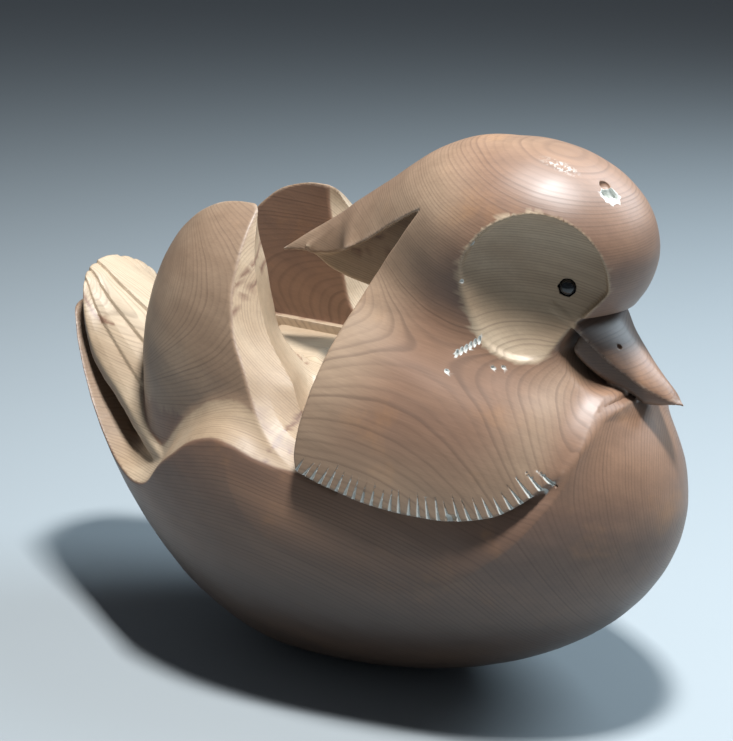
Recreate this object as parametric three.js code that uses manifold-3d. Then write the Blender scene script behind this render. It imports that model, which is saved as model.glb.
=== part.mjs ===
import * as THREE from 'three';
import Module from 'manifold-3d';

// A wooden duck carved from one block, in the manner of a mandarin drake, with two inlaid bead eyes.
// Millimetres. x runs forward to the bill, y to the duck's left and z up from the flat that it stands on.
// The two sides are alike, so every form is worked out at the distance y from the middle plane.

// The forms are drawn from the middle of the back. The origin is under the middle of the whole length.
const backToMiddle = 11;

// Hull: a long egg whose rear half sweeps up towards the tail.
const hull = { x: -20, z: 83, front: 145.5, rear: 132.5, halfWidth: 74, depth: 86 };
const tailLift = 57;
const tailSweep = 2;
const rearFullness = 1.63;

// Head: an ellipsoid that flows into the neck.
const head = { x: 60.5, z: 173, length: 50, halfWidth: 38.5, height: 36 };
const neck = { rear: -2, edge: 6, blend: 26 };
const crest = { front: 48, frontBlend: 12, blend: 10 };

// Sails: the two upright wing feathers, cut from one dome by a channel and two bevels a side.
const dome = { x: -46.5, z: 109, rear: 55.5, front: 120, halfWidth: 54.5, flare: 14, height: 75.5,
	fullness: 2.05 };
const channelHalf = 22.5;
const channelFloor = 116.5;
const ledge = { half: 18.5, z: 121.5 };
const sailFoot = 66;
const mound = { depth: 24, foot: 1.5, spread: 0.8, rear: -60 };
const webHalf = 7;

// Ruff: its edge is undercut, and the wood behind it rises to meet it.
const ruff = { undercut: 0.45, skin: 2, behind: 4, rear: 6 };
const scoopFade = 1.3;
const deck = { width: 14, rise: 40, riseFrom: 25, riseTo: 42 };

// Tail fan, eye dishes, beads and the knife cuts along the ruff.
const feather = { step: 1.3, wall: 2.6, crown: 1.6 };
const fan = { thickness: 5.5, front: -45, footInset: 7, footDepth: 2 };
const dish = { x: 81, y: 28, z: 164, radius: 25, facing: 24 * Math.PI / 180, rimRadius: 0.8,
	floorRadius: 1.5 };
const dishFloor = { depth: 1.5, hollow: 5.6, rake: 1.8, tilt: 1.6 };
const dishChord = { along: 0.75, up: -0.66, reach: 19.5 };
const bead = { along: 11.4, up: -1.2, radius: 3.4, proud: 1.3, gap: 0.3 };
const cuts = { count: 28, length: 9, width: 1.5, depth: 1.2, lift: 0.4, lead: 1, towards: [ 50, 150 ] };
const bill = { root: 84, inset: 2.5, overlap: 1, roofFullness: 1.7 };
const throatGap = 3;

// Radii where two forms meet.
const sharp = 1;
const close = 2;
const eased = 3;
const flowing = 7;

// Some forms grow faster than the distance to them does. They are slowed by about as much.
const slow = { slight: 0.85, medium: 0.8, strong: 0.75 };

const clamp = THREE.MathUtils.clamp;
const ease = THREE.MathUtils.smoothstep;

// A form is a number at each point: below zero inside the wood, above zero outside, about a distance.
function fillet( gap, radius ) {
	const h = Math.max( radius - Math.abs( gap ), 0 );
	return h * h / ( 4 * radius );
}
const join = ( a, b, radius ) => Math.min( a, b ) - fillet( a - b, radius );
const both = ( a, b, radius ) => Math.max( a, b ) + fillet( a - b, radius );
const cut = ( a, b, radius ) => both( a, - b, radius );

// A smooth curve through [ place, value ] pairs, kept as a fine ruler so that it is quick to read.
function profile( ...pairs ) {
	const places = pairs.map( pair => pair[ 0 ] );
	const curve = new THREE.CubicInterpolant( places, pairs.map( pair => pair[ 1 ] ), 1 );
	const marks = 512;
	const first = places[ 0 ];
	const last = places[ places.length - 1 ];
	const ruler = Float64Array.from( { length: marks + 2 }, ( _, i ) =>
		curve.evaluate( Math.min( last, THREE.MathUtils.lerp( first, last, i / marks ) ) )[ 0 ] );
	return place => {
		const t = clamp( ( place - first ) / ( last - first ), 0, 1 ) * marks;
		const i = Math.floor( t );
		return THREE.MathUtils.lerp( ruler[ i ], ruler[ i + 1 ], t - i );
	};
}

// Distance to a closed outline in a flat view, below zero inside it, kept on a grid of 1 mm cells.
function outlineDistance( shape, [ left, low, right, high ] ) {
	const points = shape.getPoints( 10 );
	points.push( points[ 0 ] );
	const across = right - left + 1;
	const up = high - low + 1;
	const grid = new Float32Array( across * up );
	const here = new THREE.Vector2();
	const line = new THREE.Line3();
	const near = new THREE.Vector3();
	const distanceAt = ( x, y ) => {
		let best = Infinity;
		let inside = false;
		here.set( x, y );
		for ( let k = 0; k + 1 < points.length; k ++ ) {
			const a = points[ k ];
			const b = points[ k + 1 ];
			line.start.set( a.x, a.y, 0 );
			line.end.set( b.x, b.y, 0 );
			if ( a.distanceToSquared( b ) > 0 ) {
				line.closestPointToPoint( near.set( x, y, 0 ), true, near );
				best = Math.min( best, Math.hypot( near.x - x, near.y - y ) );
			}
			const crosses = ( a.y > y ) !== ( b.y > y ) && x < a.x + ( y - a.y ) / ( b.y - a.y ) * ( b.x - a.x );
			if ( crosses ) inside = ! inside;
		}
		return inside ? - best : best;
	};
	for ( let j = 0; j < up; j ++ ) {
		for ( let i = 0; i < across; i ++ ) grid[ j * across + i ] = distanceAt( left + i, low + j );
	}
	return ( x, y ) => {
		const s = clamp( x - left, 0, across - 1.001 );
		const t = clamp( y - low, 0, up - 1.001 );
		const i = Math.floor( s );
		const j = Math.floor( t );
		const corner = j * across + i;
		const lower = THREE.MathUtils.lerp( grid[ corner ], grid[ corner + 1 ], s - i );
		const upper = THREE.MathUtils.lerp( grid[ corner + across ], grid[ corner + across + 1 ], s - i );
		return THREE.MathUtils.lerp( lower, upper, t - j );
	};
}

// An outline of smooth stretches and straight ones. Each stretch is a list of points.
function drawOutline( start, ...stretches ) {
	const shape = new THREE.Shape();
	shape.moveTo( ...start );
	for ( const { smooth, straight } of stretches ) {
		if ( smooth ) shape.splineThru( smooth.map( point => new THREE.Vector2( ...point ) ) );
		else straight.forEach( point => shape.lineTo( ...point ) );
	}
	return shape;
}

// Distance to an egg-shaped surface, from how far the point is along its ray from the centre.
function fromScale( scale, u, v, w ) {
	return Math.hypot( u, v, w ) * ( 1 - 1 / Math.max( scale, 0.001 ) );
}

function hullForm( x, y, z ) {
	const u = x - hull.x;
	const rear = u < 0;
	const lift = rear ? tailLift * Math.pow( - u / hull.rear, tailSweep ) : 0;
	const v = z - hull.z - lift;
	const power = rear ? rearFullness : 2;
	const girth = Math.hypot( y / hull.halfWidth, v / hull.depth );
	const along = Math.abs( u ) / ( rear ? hull.rear : hull.front );
	return fromScale( Math.pow( Math.pow( along, power ) + Math.pow( girth, power ), 1 / power ), u, y, v );
}

function headForm( x, y, z ) {
	const u = x - head.x;
	const v = z - head.z;
	return fromScale( Math.hypot( u / head.length, y / head.halfWidth, v / head.height ), u, y, v );
}

// Crest: the long lock of feathers that sweeps back from the head to a point.
const crestTop = profile( [ -48, 154.5 ], [ -32, 164.5 ], [ -19.5, 172 ], [ 1, 185.5 ],
	[ 26, 198.5 ], [ 45, 204 ], [ 70, 204 ] );
const crestHalf = profile( [ -48, 0.3 ], [ -45, 0.8 ], [ -38, 4 ], [ -20, 9.5 ], [ 0, 15 ], [ 26, 24 ],
	[ 50, 32 ] );
const crestDepth = profile( [ -48, 1.5 ], [ -45, 2.5 ], [ -38, 8 ], [ -20, 16 ], [ 0, 20 ], [ 26, 28 ],
	[ 50, 34 ] );
function crestForm( x, y, z ) {
	const depth = crestDepth( x );
	const v = z - crestTop( x ) + depth;
	const section = fromScale( Math.hypot( y / crestHalf( x ), v / depth ), 0, y, v );
	return both( section * slow.slight, x - crest.front, crest.frontBlend );
}

// Ruff: the side view of the head, crest and neck feathers, down to the edge that carries the cuts.
// Towards the breast the edge runs out and the ruff settles softly into the hull.
const ruffHeel = [ 13, 97 ];
const ruffEdge = [ [ 25, 93.5 ], [ 43.5, 89 ], [ 65.5, 87 ], [ 78, 88.5 ], [ 87, 92.5 ], [ 97, 102 ] ];
const ruffOutline = drawOutline( [ -47, 155 ],
	{ smooth: [ [ -36, 157 ], [ -27.5, 158 ], [ -12.5, 160.5 ], [ 6.5, 168.5 ], [ 23, 178 ], [ 38, 186 ] ] },
	{ smooth: [ [ 30, 175.5 ], [ 22.5, 165.5 ], [ 18.5, 156 ], [ 15, 136 ], [ 12, 115 ], [ 11.5, 104 ],
		ruffHeel ] },
	{ smooth: [ ...ruffEdge, [ 102.5, 115 ], [ 104, 122 ] ] },
	{ straight: [ [ 112, 130 ], [ 150, 130 ], [ 150, 230 ], [ -60, 230 ], [ -60, 157 ] ] } );
const ruffLine = outlineDistance( ruffOutline, [ -70, 40, 150, 235 ] );
const ruffSettle = profile( [ 80, 1.5 ], [ 90, 1.5 ], [ 97, 5 ], [ 104, 12 ] );

// Throat: the hollow cut back under the brow, which leaves the bill standing free.
const throatOutline = drawOutline( [ 130, 154 ],
	{ straight: [ [ 101, 153.5 ], [ 94, 153 ] ] },
	{ smooth: [ [ 90.5, 148.5 ], [ 88, 142 ], [ 89.5, 137.5 ], [ 95.5, 130.5 ], [ 102, 125.5 ], [ 108, 122.5 ],
		[ 116, 113 ] ] },
	{ straight: [ [ 130, 98 ] ] } );
const throatLine = outlineDistance( throatOutline, [ 70, 90, 150, 175 ] );

// Bill: an upper half with a narrow ridge, and a lower half that fills the throat but for a gap.
const billTop = profile( [ 80, 164 ], [ 95, 153.5 ], [ 100.5, 148.5 ], [ 107, 141.5 ], [ 115.5, 133 ],
	[ 121, 128 ], [ 124.5, 123 ] );
const billMouth = profile( [ 80, 158 ], [ 92, 149.5 ], [ 100, 140 ], [ 109, 132 ], [ 118, 126 ],
	[ 126, 122.5 ] );
const billHalf = profile( [ 80, 24 ], [ 92, 20 ], [ 100, 14.5 ], [ 109, 10 ], [ 118, 5.5 ], [ 123, 3 ],
	[ 125, 0.5 ], [ 130, -5 ] );
const lowerBillDepth = profile( [ 80, 13 ], [ 92, 12.5 ], [ 100, 11 ], [ 109, 8.5 ], [ 117, 4.5 ],
	[ 121, 2 ], [ 125, 0.8 ] );
function billForm( x, y, z, throat ) {
	const mouth = billMouth( x );
	const half = billHalf( x );
	const height = Math.max( billTop( x ) - mouth, 1 );
	const rise = Math.max( z - mouth, 0 );
	const power = bill.roofFullness;
	const roof = Math.pow(
		Math.pow( y / Math.max( half, 1 ), power ) + Math.pow( rise / height, power ), 1 / power );
	const sides = both( fromScale( roof, 0, y, rise ), y - half, sharp );
	const upper = both( sides * slow.medium, mouth - z, sharp );
	const keel = Math.max( throat + throatGap, mouth - lowerBillDepth( x ) - z );
	const jaw = both( keel, y - half + bill.inset, eased );
	const lower = both( jaw, z - mouth - bill.overlap, sharp ) * slow.medium;
	return both( Math.min( upper, lower ), bill.root - x, sharp );
}

// Eye dish: a round hollow on each side of the head, cut off straight towards the bill.
function dishForm( x, y, z ) {
	const dx = x - dish.x;
	const dy = y - dish.y;
	const up = z - dish.z;
	const along = dx * Math.cos( dish.facing ) - dy * Math.sin( dish.facing );
	const out = dx * Math.sin( dish.facing ) + dy * Math.cos( dish.facing );
	const reach = Math.hypot( along, up );
	const hollow = dishFloor.hollow * ( 1 - ( reach / dish.radius ) ** 2 );
	const slope = dishFloor.depth + ( dishFloor.rake * along + dishFloor.tilt * up ) / dish.radius;
	const chord = dishChord.along * along + dishChord.up * up - dishChord.reach;
	const rim = both( reach - dish.radius, chord, sharp );
	return both( rim, ( - slope - hollow - out ) * slow.slight, dish.floorRadius );
}

// Scoop: the hollow that runs along under the ruff and leaves its edge standing proud.
const scoopWidth = profile( [ 0, 30 ], [ 40, 34 ], [ 64, 26 ], [ 86, 13 ], [ 98, 6 ], [ 106, 3 ],
	[ 130, 3 ] );
const scoopDepth = profile( [ 0, 6.5 ], [ 60, 6.5 ], [ 85, 5.5 ], [ 98, 3 ], [ 104, 1 ], [ 108, 0 ],
	[ 130, 0 ] );
function scoopAt( x, fromRuff ) {
	const fade = fromRuff < 0 ? 1 : Math.max( 0, 1 - fromRuff / scoopWidth( x ) );
	return scoopDepth( x ) * Math.pow( fade, scoopFade );
}

// Rim: the upper edge of the hull, and how steeply the deck flares up inside it.
const rimHeight = profile( [ -153, 121 ], [ -147, 122.5 ], [ -141, 121 ], [ -136, 114.5 ], [ -130, 107 ],
	[ -119, 94 ], [ -109, 84.5 ], [ -97, 76 ], [ -84, 72 ], [ -72, 71.5 ], [ -62, 75.5 ], [ -52, 85.5 ],
	[ -45, 91 ], [ -37, 97 ], [ -29.5, 100.5 ], [ -22, 102 ], [ -15, 100.5 ], [ -6, 96 ], [ 3, 92.5 ], [ 11, 90 ],
	[ 25, 86 ], [ 45, 80 ] );
const deckSlope = profile( [ -153, 0.2 ], [ -95, 0.2 ], [ -75, 0.35 ], [ -55, 0.7 ], [ 20, 0.7 ] );

function domeForm( x, y, z ) {
	const u = x - dome.x;
	const v = Math.max( z - dome.z, 0 );
	const half = dome.halfWidth + dome.flare * ease( x, -60, 15 ) * ( 1 - ease( z, 90, 170 ) );
	const p = dome.fullness;
	const scale = Math.pow( Math.abs( u ) / ( u < 0 ? dome.rear : dome.front ), p ) +
		Math.pow( y / half, p ) + Math.pow( v / dome.height, p );
	return Math.max( fromScale( Math.pow( scale, 1 / p ), u, y, v ), sailFoot - z );
}

// Front of each sail: an inner and an outer bevel that meet in a ridge. Each line is read by height.
const innerEdge = profile( [ 85, -8 ], [ 100, -12 ], [ 118.5, -19 ], [ 125, -26 ], [ 130, -30 ],
	[ 141.5, -33.5 ], [ 154.5, -36 ], [ 168, -40 ], [ 179, -41 ] );
const ridgeX = profile( [ 85, 9 ], [ 100, 2 ], [ 113.5, -5 ], [ 118.5, -8 ], [ 125.5, -15.5 ], [ 133.5, -22.5 ],
	[ 142, -27 ], [ 152.5, -31 ], [ 166, -35 ], [ 174, -37.5 ], [ 179, -38.5 ] );
const ridgeY = profile( [ 85, 50 ], [ 100, 48 ], [ 113.5, 46 ], [ 125.5, 42 ], [ 142, 38 ], [ 152.5, 36 ],
	[ 166, 31 ], [ 174, 26 ], [ 179, 23.5 ] );
const outerEdge = profile( [ 84, 12 ], [ 90.5, 6.5 ], [ 96, 1.5 ], [ 103, -6.5 ], [ 111.5, -13.5 ],
	[ 124.5, -21.5 ], [ 134, -28 ], [ 143.5, -32 ], [ 150, -34 ], [ 159.5, -35.5 ], [ 174.5, -37.5 ], [ 179, -38.5 ] );
const outerEdgeY = profile( [ 84, 61 ], [ 96, 61.5 ], [ 111.5, 60 ], [ 124.5, 56.5 ], [ 134, 53 ], [ 143.5, 49 ],
	[ 150, 46 ], [ 159.5, 41 ], [ 166.5, 35.5 ], [ 174.5, 27.5 ], [ 179, 25 ] );
function sailFront( y, z ) {
	const x = ridgeX( z );
	const fromRidge = y - ridgeY( z );
	const outer = x + ( outerEdge( z ) - x ) * fromRidge / ( outerEdgeY( z ) - ridgeY( z ) );
	const inner = x + ( innerEdge( z ) - x ) * fromRidge / ( channelHalf - ridgeY( z ) );
	return Math.min( outer, inner );
}
function sailForm( x, y, z ) {
	const floor = y > ledge.half ? ledge.z : channelFloor;
	const channel = Math.max( y - channelHalf, floor - z );
	const bevelled = both( domeForm( x, y, z ), ( x - sailFront( y, z ) ) * slow.medium, sharp );
	return cut( bevelled, channel, sharp );
}

// Neck mound: the wood left between the sails and the ruff, widening downwards from the channel floor.
function moundForm( x, y, z, shell ) {
	const side = y - channelHalf - mound.foot - mound.spread * ( channelFloor - z );
	const core = both( shell + mound.depth, side * slow.medium, eased );
	return both( both( core, z - channelFloor, close ), mound.rear - x, eased );
}

// Web: the thin rear of the neck that carries the crest.
const webOutline = drawOutline( [ -30, 160 ],
	{ smooth: [ [ -24, 156 ], [ -16.5, 152 ], [ -3.5, 149 ], [ 14, 146 ], [ 30, 146 ] ] },
	{ straight: [ [ 44, 190 ], [ 20, 190 ], [ -20, 166 ] ] } );
const webLine = outlineDistance( webOutline, [ -40, 130, 60, 200 ] );

// Tail fan: overlapping feathers on a foot that is set back from their edge.
const fanTop = profile( [ -150, 144 ], [ -141, 140.5 ], [ -124, 133 ], [ -100, 121.5 ], [ -84, 114 ],
	[ -50, 96 ] );
const fanSide = profile( [ -145, 136 ], [ -141, 135.5 ], [ -137, 134 ], [ -134, 130.5 ], [ -131, 123.5 ],
	[ -124, 112.5 ], [ -116, 106 ], [ -100, 95.5 ], [ -84, 87.5 ], [ -69, 83.5 ], [ -50, 80 ] );
const fanHalf = profile( [ -145, 17 ], [ -137, 20 ], [ -131, 25 ], [ -116, 32.5 ], [ -84, 45 ], [ -69, 53 ],
	[ -50, 58 ] );
const fanOutline = drawOutline( [ -141, 0 ],
	{ smooth: [ [ -140.5, 7 ], [ -139, 13.5 ], [ -136, 19 ], [ -132.5, 23.5 ], [ -127, 27.5 ], [ -116, 32.5 ],
		[ -100, 38 ], [ -84, 45 ], [ -69, 53 ], [ fan.front, 62 ] ] },
	{ straight: [ [ fan.front, -10 ], [ -141, -10 ] ] } );
const fanLine = outlineDistance( fanOutline, [ -155, -1, -40, 75 ] );
const featherLines = [
	profile( [ -141, 6 ], [ -110, 10 ], [ -60, 16 ] ),
	profile( [ -141, 11.5 ], [ -137, 12.5 ], [ -102, 21 ], [ -60, 32 ] ),
	profile( [ -141, 15 ], [ -137, 17 ], [ -120, 23.5 ], [ -90, 34 ], [ -60, 44 ] ),
	fanHalf ];
function fanFace( x, y ) {
	const row = Math.max( featherLines.findIndex( line => y <= line( x ) ), 0 );
	const droop = ( fanTop( x ) - fanSide( x ) ) * ( y / fanHalf( x ) ) ** 2;
	const face = fanTop( x ) - droop;
	if ( row === 0 ) return face;
	const inner = featherLines[ row - 1 ]( x );
	const width = featherLines[ row ]( x ) - inner;
	const crown = clamp( feather.crown * ( y - inner ) / width, 0, 1 );
	const wall = 1 - ( y - inner ) / feather.wall;
	return face - feather.step * ( 1 - Math.max( crown, wall ) );
}
function fanForm( x, y, z, shell ) {
	const face = fanFace( x, y );
	const edge = fanLine( x, y );
	const above = ( z - face ) * slow.strong;
	const below = ( face - fan.thickness - z ) * slow.strong;
	const plate = both( both( above, below, sharp ), edge, sharp );
	const footTop = ( z - face + fan.footDepth ) * slow.strong;
	const foot = both( both( footTop, edge + fan.footInset, close ), shell, sharp );
	return both( join( plate, foot, sharp ), x - fan.front, sharp );
}

// Cheek: the side of the ruff, from the hull up into the head.
function cheekForm( x, y, z, shell ) {
	return join( both( shell, neck.rear - x, neck.edge ), headForm( x, y, z ), neck.blend );
}

// The whole carving.
const flatBottom = 0;
function carving( x, side, z ) {
	const y = Math.abs( side );
	const shell = hullForm( x, y, z );
	const throat = throatLine( x, z );
	const eyeDish = dishForm( x, y, z );

	let face = join( cheekForm( x, y, z, shell ), crestForm( x, y, z ), crest.blend );
	face = cut( face, throat, sharp );
	face = cut( face, eyeDish, dish.rimRadius );
	const fromRuff = ruffLine( x, z );
	const undercut = ruff.undercut * Math.max( 0, - face - ruff.skin );
	const collar = both( face, fromRuff + undercut, sharp );

	const flare = deckSlope( x ) * clamp( - shell, 0, deck.width );
	const deckTop = z - rimHeight( x ) - flare - deck.rise * ease( x, deck.riseFrom, deck.riseTo );
	const behindRuff = Math.max( fromRuff + ruff.behind + undercut, ruff.rear - x );
	const bowl = shell + scoopAt( x, fromRuff );
	const lowerBody = both( bowl, Math.min( deckTop * slow.medium, behindRuff ), sharp );

	let wood = join( lowerBody, moundForm( x, y, z, shell ), eased );
	wood = join( wood, sailForm( x, y, z ), flowing );
	wood = join( wood, fanForm( x, y, z, shell ), sharp );
	wood = join( wood, collar, ruffSettle( x ) );
	wood = join( wood, both( webLine( x, z ), y - webHalf, close ), close );
	wood = join( wood, cut( billForm( x, y, z, throat ), eyeDish, dish.rimRadius ), sharp );
	return Math.max( wood, flatBottom - z );
}

// Facets: the form is read on a grid of cubes, meshed, thinned to few facets and drawn back onto the form.
const gridStep = 2.1;
const gridLow = [ -158.3, -80.85, - gridStep / 2 ];
const gridCells = [ 137, 77, 101 ];
const facetBudget = 7500;

// Each cube is split into six tetrahedra around its long diagonal.
const walks = [ [ 1, 2, 4 ], [ 1, 4, 2 ], [ 2, 1, 4 ], [ 2, 4, 1 ], [ 4, 1, 2 ], [ 4, 2, 1 ] ];
const tetrahedra = walks.map( ( [ a, b ] ) => [ 0, a, a + b, 7 ] );

function readGrid( form ) {
	const [ nx, ny, nz ] = gridCells.map( cells => cells + 1 );
	const values = new Float64Array( nx * ny * nz );
	const at = ( i, j, k ) => ( k * ny + j ) * nx + i;
	for ( let k = 0; k < nz; k ++ ) {
		for ( let j = 0; j < ny; j ++ ) {
			const twin = ny - 1 - j;
			for ( let i = 0; i < nx; i ++ ) {
				const [ x, y, z ] = [ i, j, k ].map( ( n, axis ) => gridLow[ axis ] + n * gridStep );
				values[ at( i, j, k ) ] = twin < j ? values[ at( i, twin, k ) ] : form( x, y, z );
			}
		}
	}
	return { values, at, nx, ny, nz };
}

// Where the line from a point in the wood to one outside it comes out,
// or short of its ends by a least share.
function surfaceBetween( form, from, to, leastShare = 0 ) {
	const halvings = 12;
	const middle = new THREE.Vector3();
	let [ inside, outside ] = [ leastShare, 1 - leastShare ];
	for ( let pass = 0; pass < halvings; pass ++ ) {
		const share = ( inside + outside ) / 2;
		if ( form( ...middle.lerpVectors( from, to, share ) ) < 0 ) inside = share;
		else outside = share;
	}
	return middle.lerpVectors( from, to, inside );
}

function meshForm( form ) {
	const { values, at, nx, ny, nz } = readGrid( form );
	const places = [];
	const facets = [];
	const known = new Map();
	const placeOf = node => {
		const i = node % nx;
		const j = Math.floor( node / nx ) % ny;
		const k = Math.floor( node / ( nx * ny ) );
		return [ i, j, k ].map( ( n, axis ) => gridLow[ axis ] + n * gridStep );
	};
	const leastShare = 0.03;
	const corner = node => new THREE.Vector3( ...placeOf( node ) );
	const crossing = ( inside, outside ) => {
		const key = Math.min( inside, outside ) * values.length + Math.max( inside, outside );
		if ( ! known.has( key ) ) {
			known.set( key, places.length / 3 );
			places.push( ...surfaceBetween( form, corner( inside ), corner( outside ), leastShare ) );
		}
		return known.get( key );
	};
	const middle = ( [ inside, outside ] ) => corner( inside ).add( corner( outside ) ).divideScalar( 2 );
	const addFacets = ring => {
		const [ a, b, c ] = ring.map( middle );
		const outward = corner( ring[ 0 ][ 1 ] ).sub( corner( ring[ 0 ][ 0 ] ) );
		const faces = b.sub( a ).cross( c.sub( a ) ).dot( outward ) > 0 ? ring : ring.toReversed();
		const vertices = faces.map( ( [ inside, outside ] ) => crossing( inside, outside ) );
		facets.push( vertices[ 0 ], vertices[ 1 ], vertices[ 2 ] );
		if ( vertices.length === 4 ) facets.push( vertices[ 0 ], vertices[ 2 ], vertices[ 3 ] );
	};
	for ( let k = 0; k + 1 < nz; k ++ ) {
		for ( let j = 0; j + 1 < ny; j ++ ) {
			for ( let i = 0; i + 1 < nx; i ++ ) {
				const nodes = Array.from( { length: 8 }, ( _, n ) =>
					at( i + ( n & 1 ), j + ( n >> 1 & 1 ), k + ( n >> 2 ) ) );
				const solid = nodes.filter( node => values[ node ] < 0 ).length;
				if ( solid === 0 || solid === 8 ) continue;
				for ( const tetrahedron of tetrahedra ) {
					const inside = tetrahedron.map( n => nodes[ n ] ).filter( node => values[ node ] < 0 );
					const outside = tetrahedron.map( n => nodes[ n ] ).filter( node => values[ node ] >= 0 );
					if ( inside.length === 0 || outside.length === 0 ) continue;
					const ring = inside.length === 2
						? [ [ 0, 0 ], [ 0, 1 ], [ 1, 1 ], [ 1, 0 ] ].map( ( [ a, b ] ) => [ inside[ a ], outside[ b ] ] )
						: inside.flatMap( a => outside.map( b => [ a, b ] ) );
					addFacets( ring );
				}
			}
		}
	}
	return { places, facets };
}

// Sum of squared distances to planes, kept as the ten numbers of a symmetric matrix.
function planeError( normal, offset, weight ) {
	const row = [ normal.x, normal.y, normal.z, offset ];
	const sums = [];
	for ( let a = 0; a < 4; a ++ ) {
		for ( let b = a; b < 4; b ++ ) sums.push( weight * row[ a ] * row[ b ] );
	}
	return sums;
}
const addError = ( a, b ) => a.map( ( value, i ) => value + b[ i ] );

// A weak pull towards a point, which settles where a vertex goes along a flat face.
function pointError( { x, y, z }, weight ) {
	const far = weight * ( x * x + y * y + z * z );
	return [ weight, 0, 0, - weight * x, weight, 0, - weight * y, weight, - weight * z, far ];
}
function errorAt( q, { x, y, z } ) {
	return q[ 0 ] * x * x + 2 * q[ 1 ] * x * y + 2 * q[ 2 ] * x * z + 2 * q[ 3 ] * x +
		q[ 4 ] * y * y + 2 * q[ 5 ] * y * z + 2 * q[ 6 ] * y + q[ 7 ] * z * z + 2 * q[ 8 ] * z + q[ 9 ];
}
const furthestMove = 1;
function bestPlace( q, a, b ) {
	const middle = a.clone().lerp( b, 0.5 );
	const matrix = new THREE.Matrix3().set(
		q[ 0 ], q[ 1 ], q[ 2 ], q[ 1 ], q[ 4 ], q[ 5 ], q[ 2 ], q[ 5 ], q[ 7 ] );
	const size = Math.cbrt( Math.abs( matrix.determinant() ) );
	if ( size > 0 ) {
		const place = new THREE.Vector3( - q[ 3 ], - q[ 6 ], - q[ 8 ] ).applyMatrix3( matrix.invert() );
		if ( place.distanceTo( middle ) < a.distanceTo( b ) * furthestMove ) return place;
	}
	return [ a, b, middle ].sort( ( m, n ) => errorAt( q, m ) - errorAt( q, n ) )[ 0 ].clone();
}

// A queue that gives back its cheapest entry first.
class CheapestFirst {

	entries = [];

	push( entry ) {
		const list = this.entries;
		let i = list.push( entry ) - 1;
		while ( i > 0 && list[ ( i - 1 ) >> 1 ].cost > entry.cost ) {
			list[ i ] = list[ ( i - 1 ) >> 1 ];
			i = ( i - 1 ) >> 1;
		}
		list[ i ] = entry;
	}

	pop() {
		const list = this.entries;
		const top = list[ 0 ];
		const entry = list.pop();
		if ( list.length === 0 ) return top;
		let i = 0;
		for ( ;; ) {
			let child = 2 * i + 1;
			if ( child >= list.length ) break;
			if ( child + 1 < list.length && list[ child + 1 ].cost < list[ child ].cost ) child ++;
			if ( list[ child ].cost >= entry.cost ) break;
			list[ i ] = list[ child ];
			i = child;
		}
		list[ i ] = entry;
		return top;
	}

}

// How the form changes at a point, by differences over a short way to each side.
function slopeOf( form, { x, y, z }, probe ) {
	return new THREE.Vector3(
		form( x + probe, y, z ) - form( x - probe, y, z ),
		form( x, y + probe, z ) - form( x, y - probe, z ),
		form( x, y, z + probe ) - form( x, y, z - probe ) ).divideScalar( 2 * probe );
}

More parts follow.
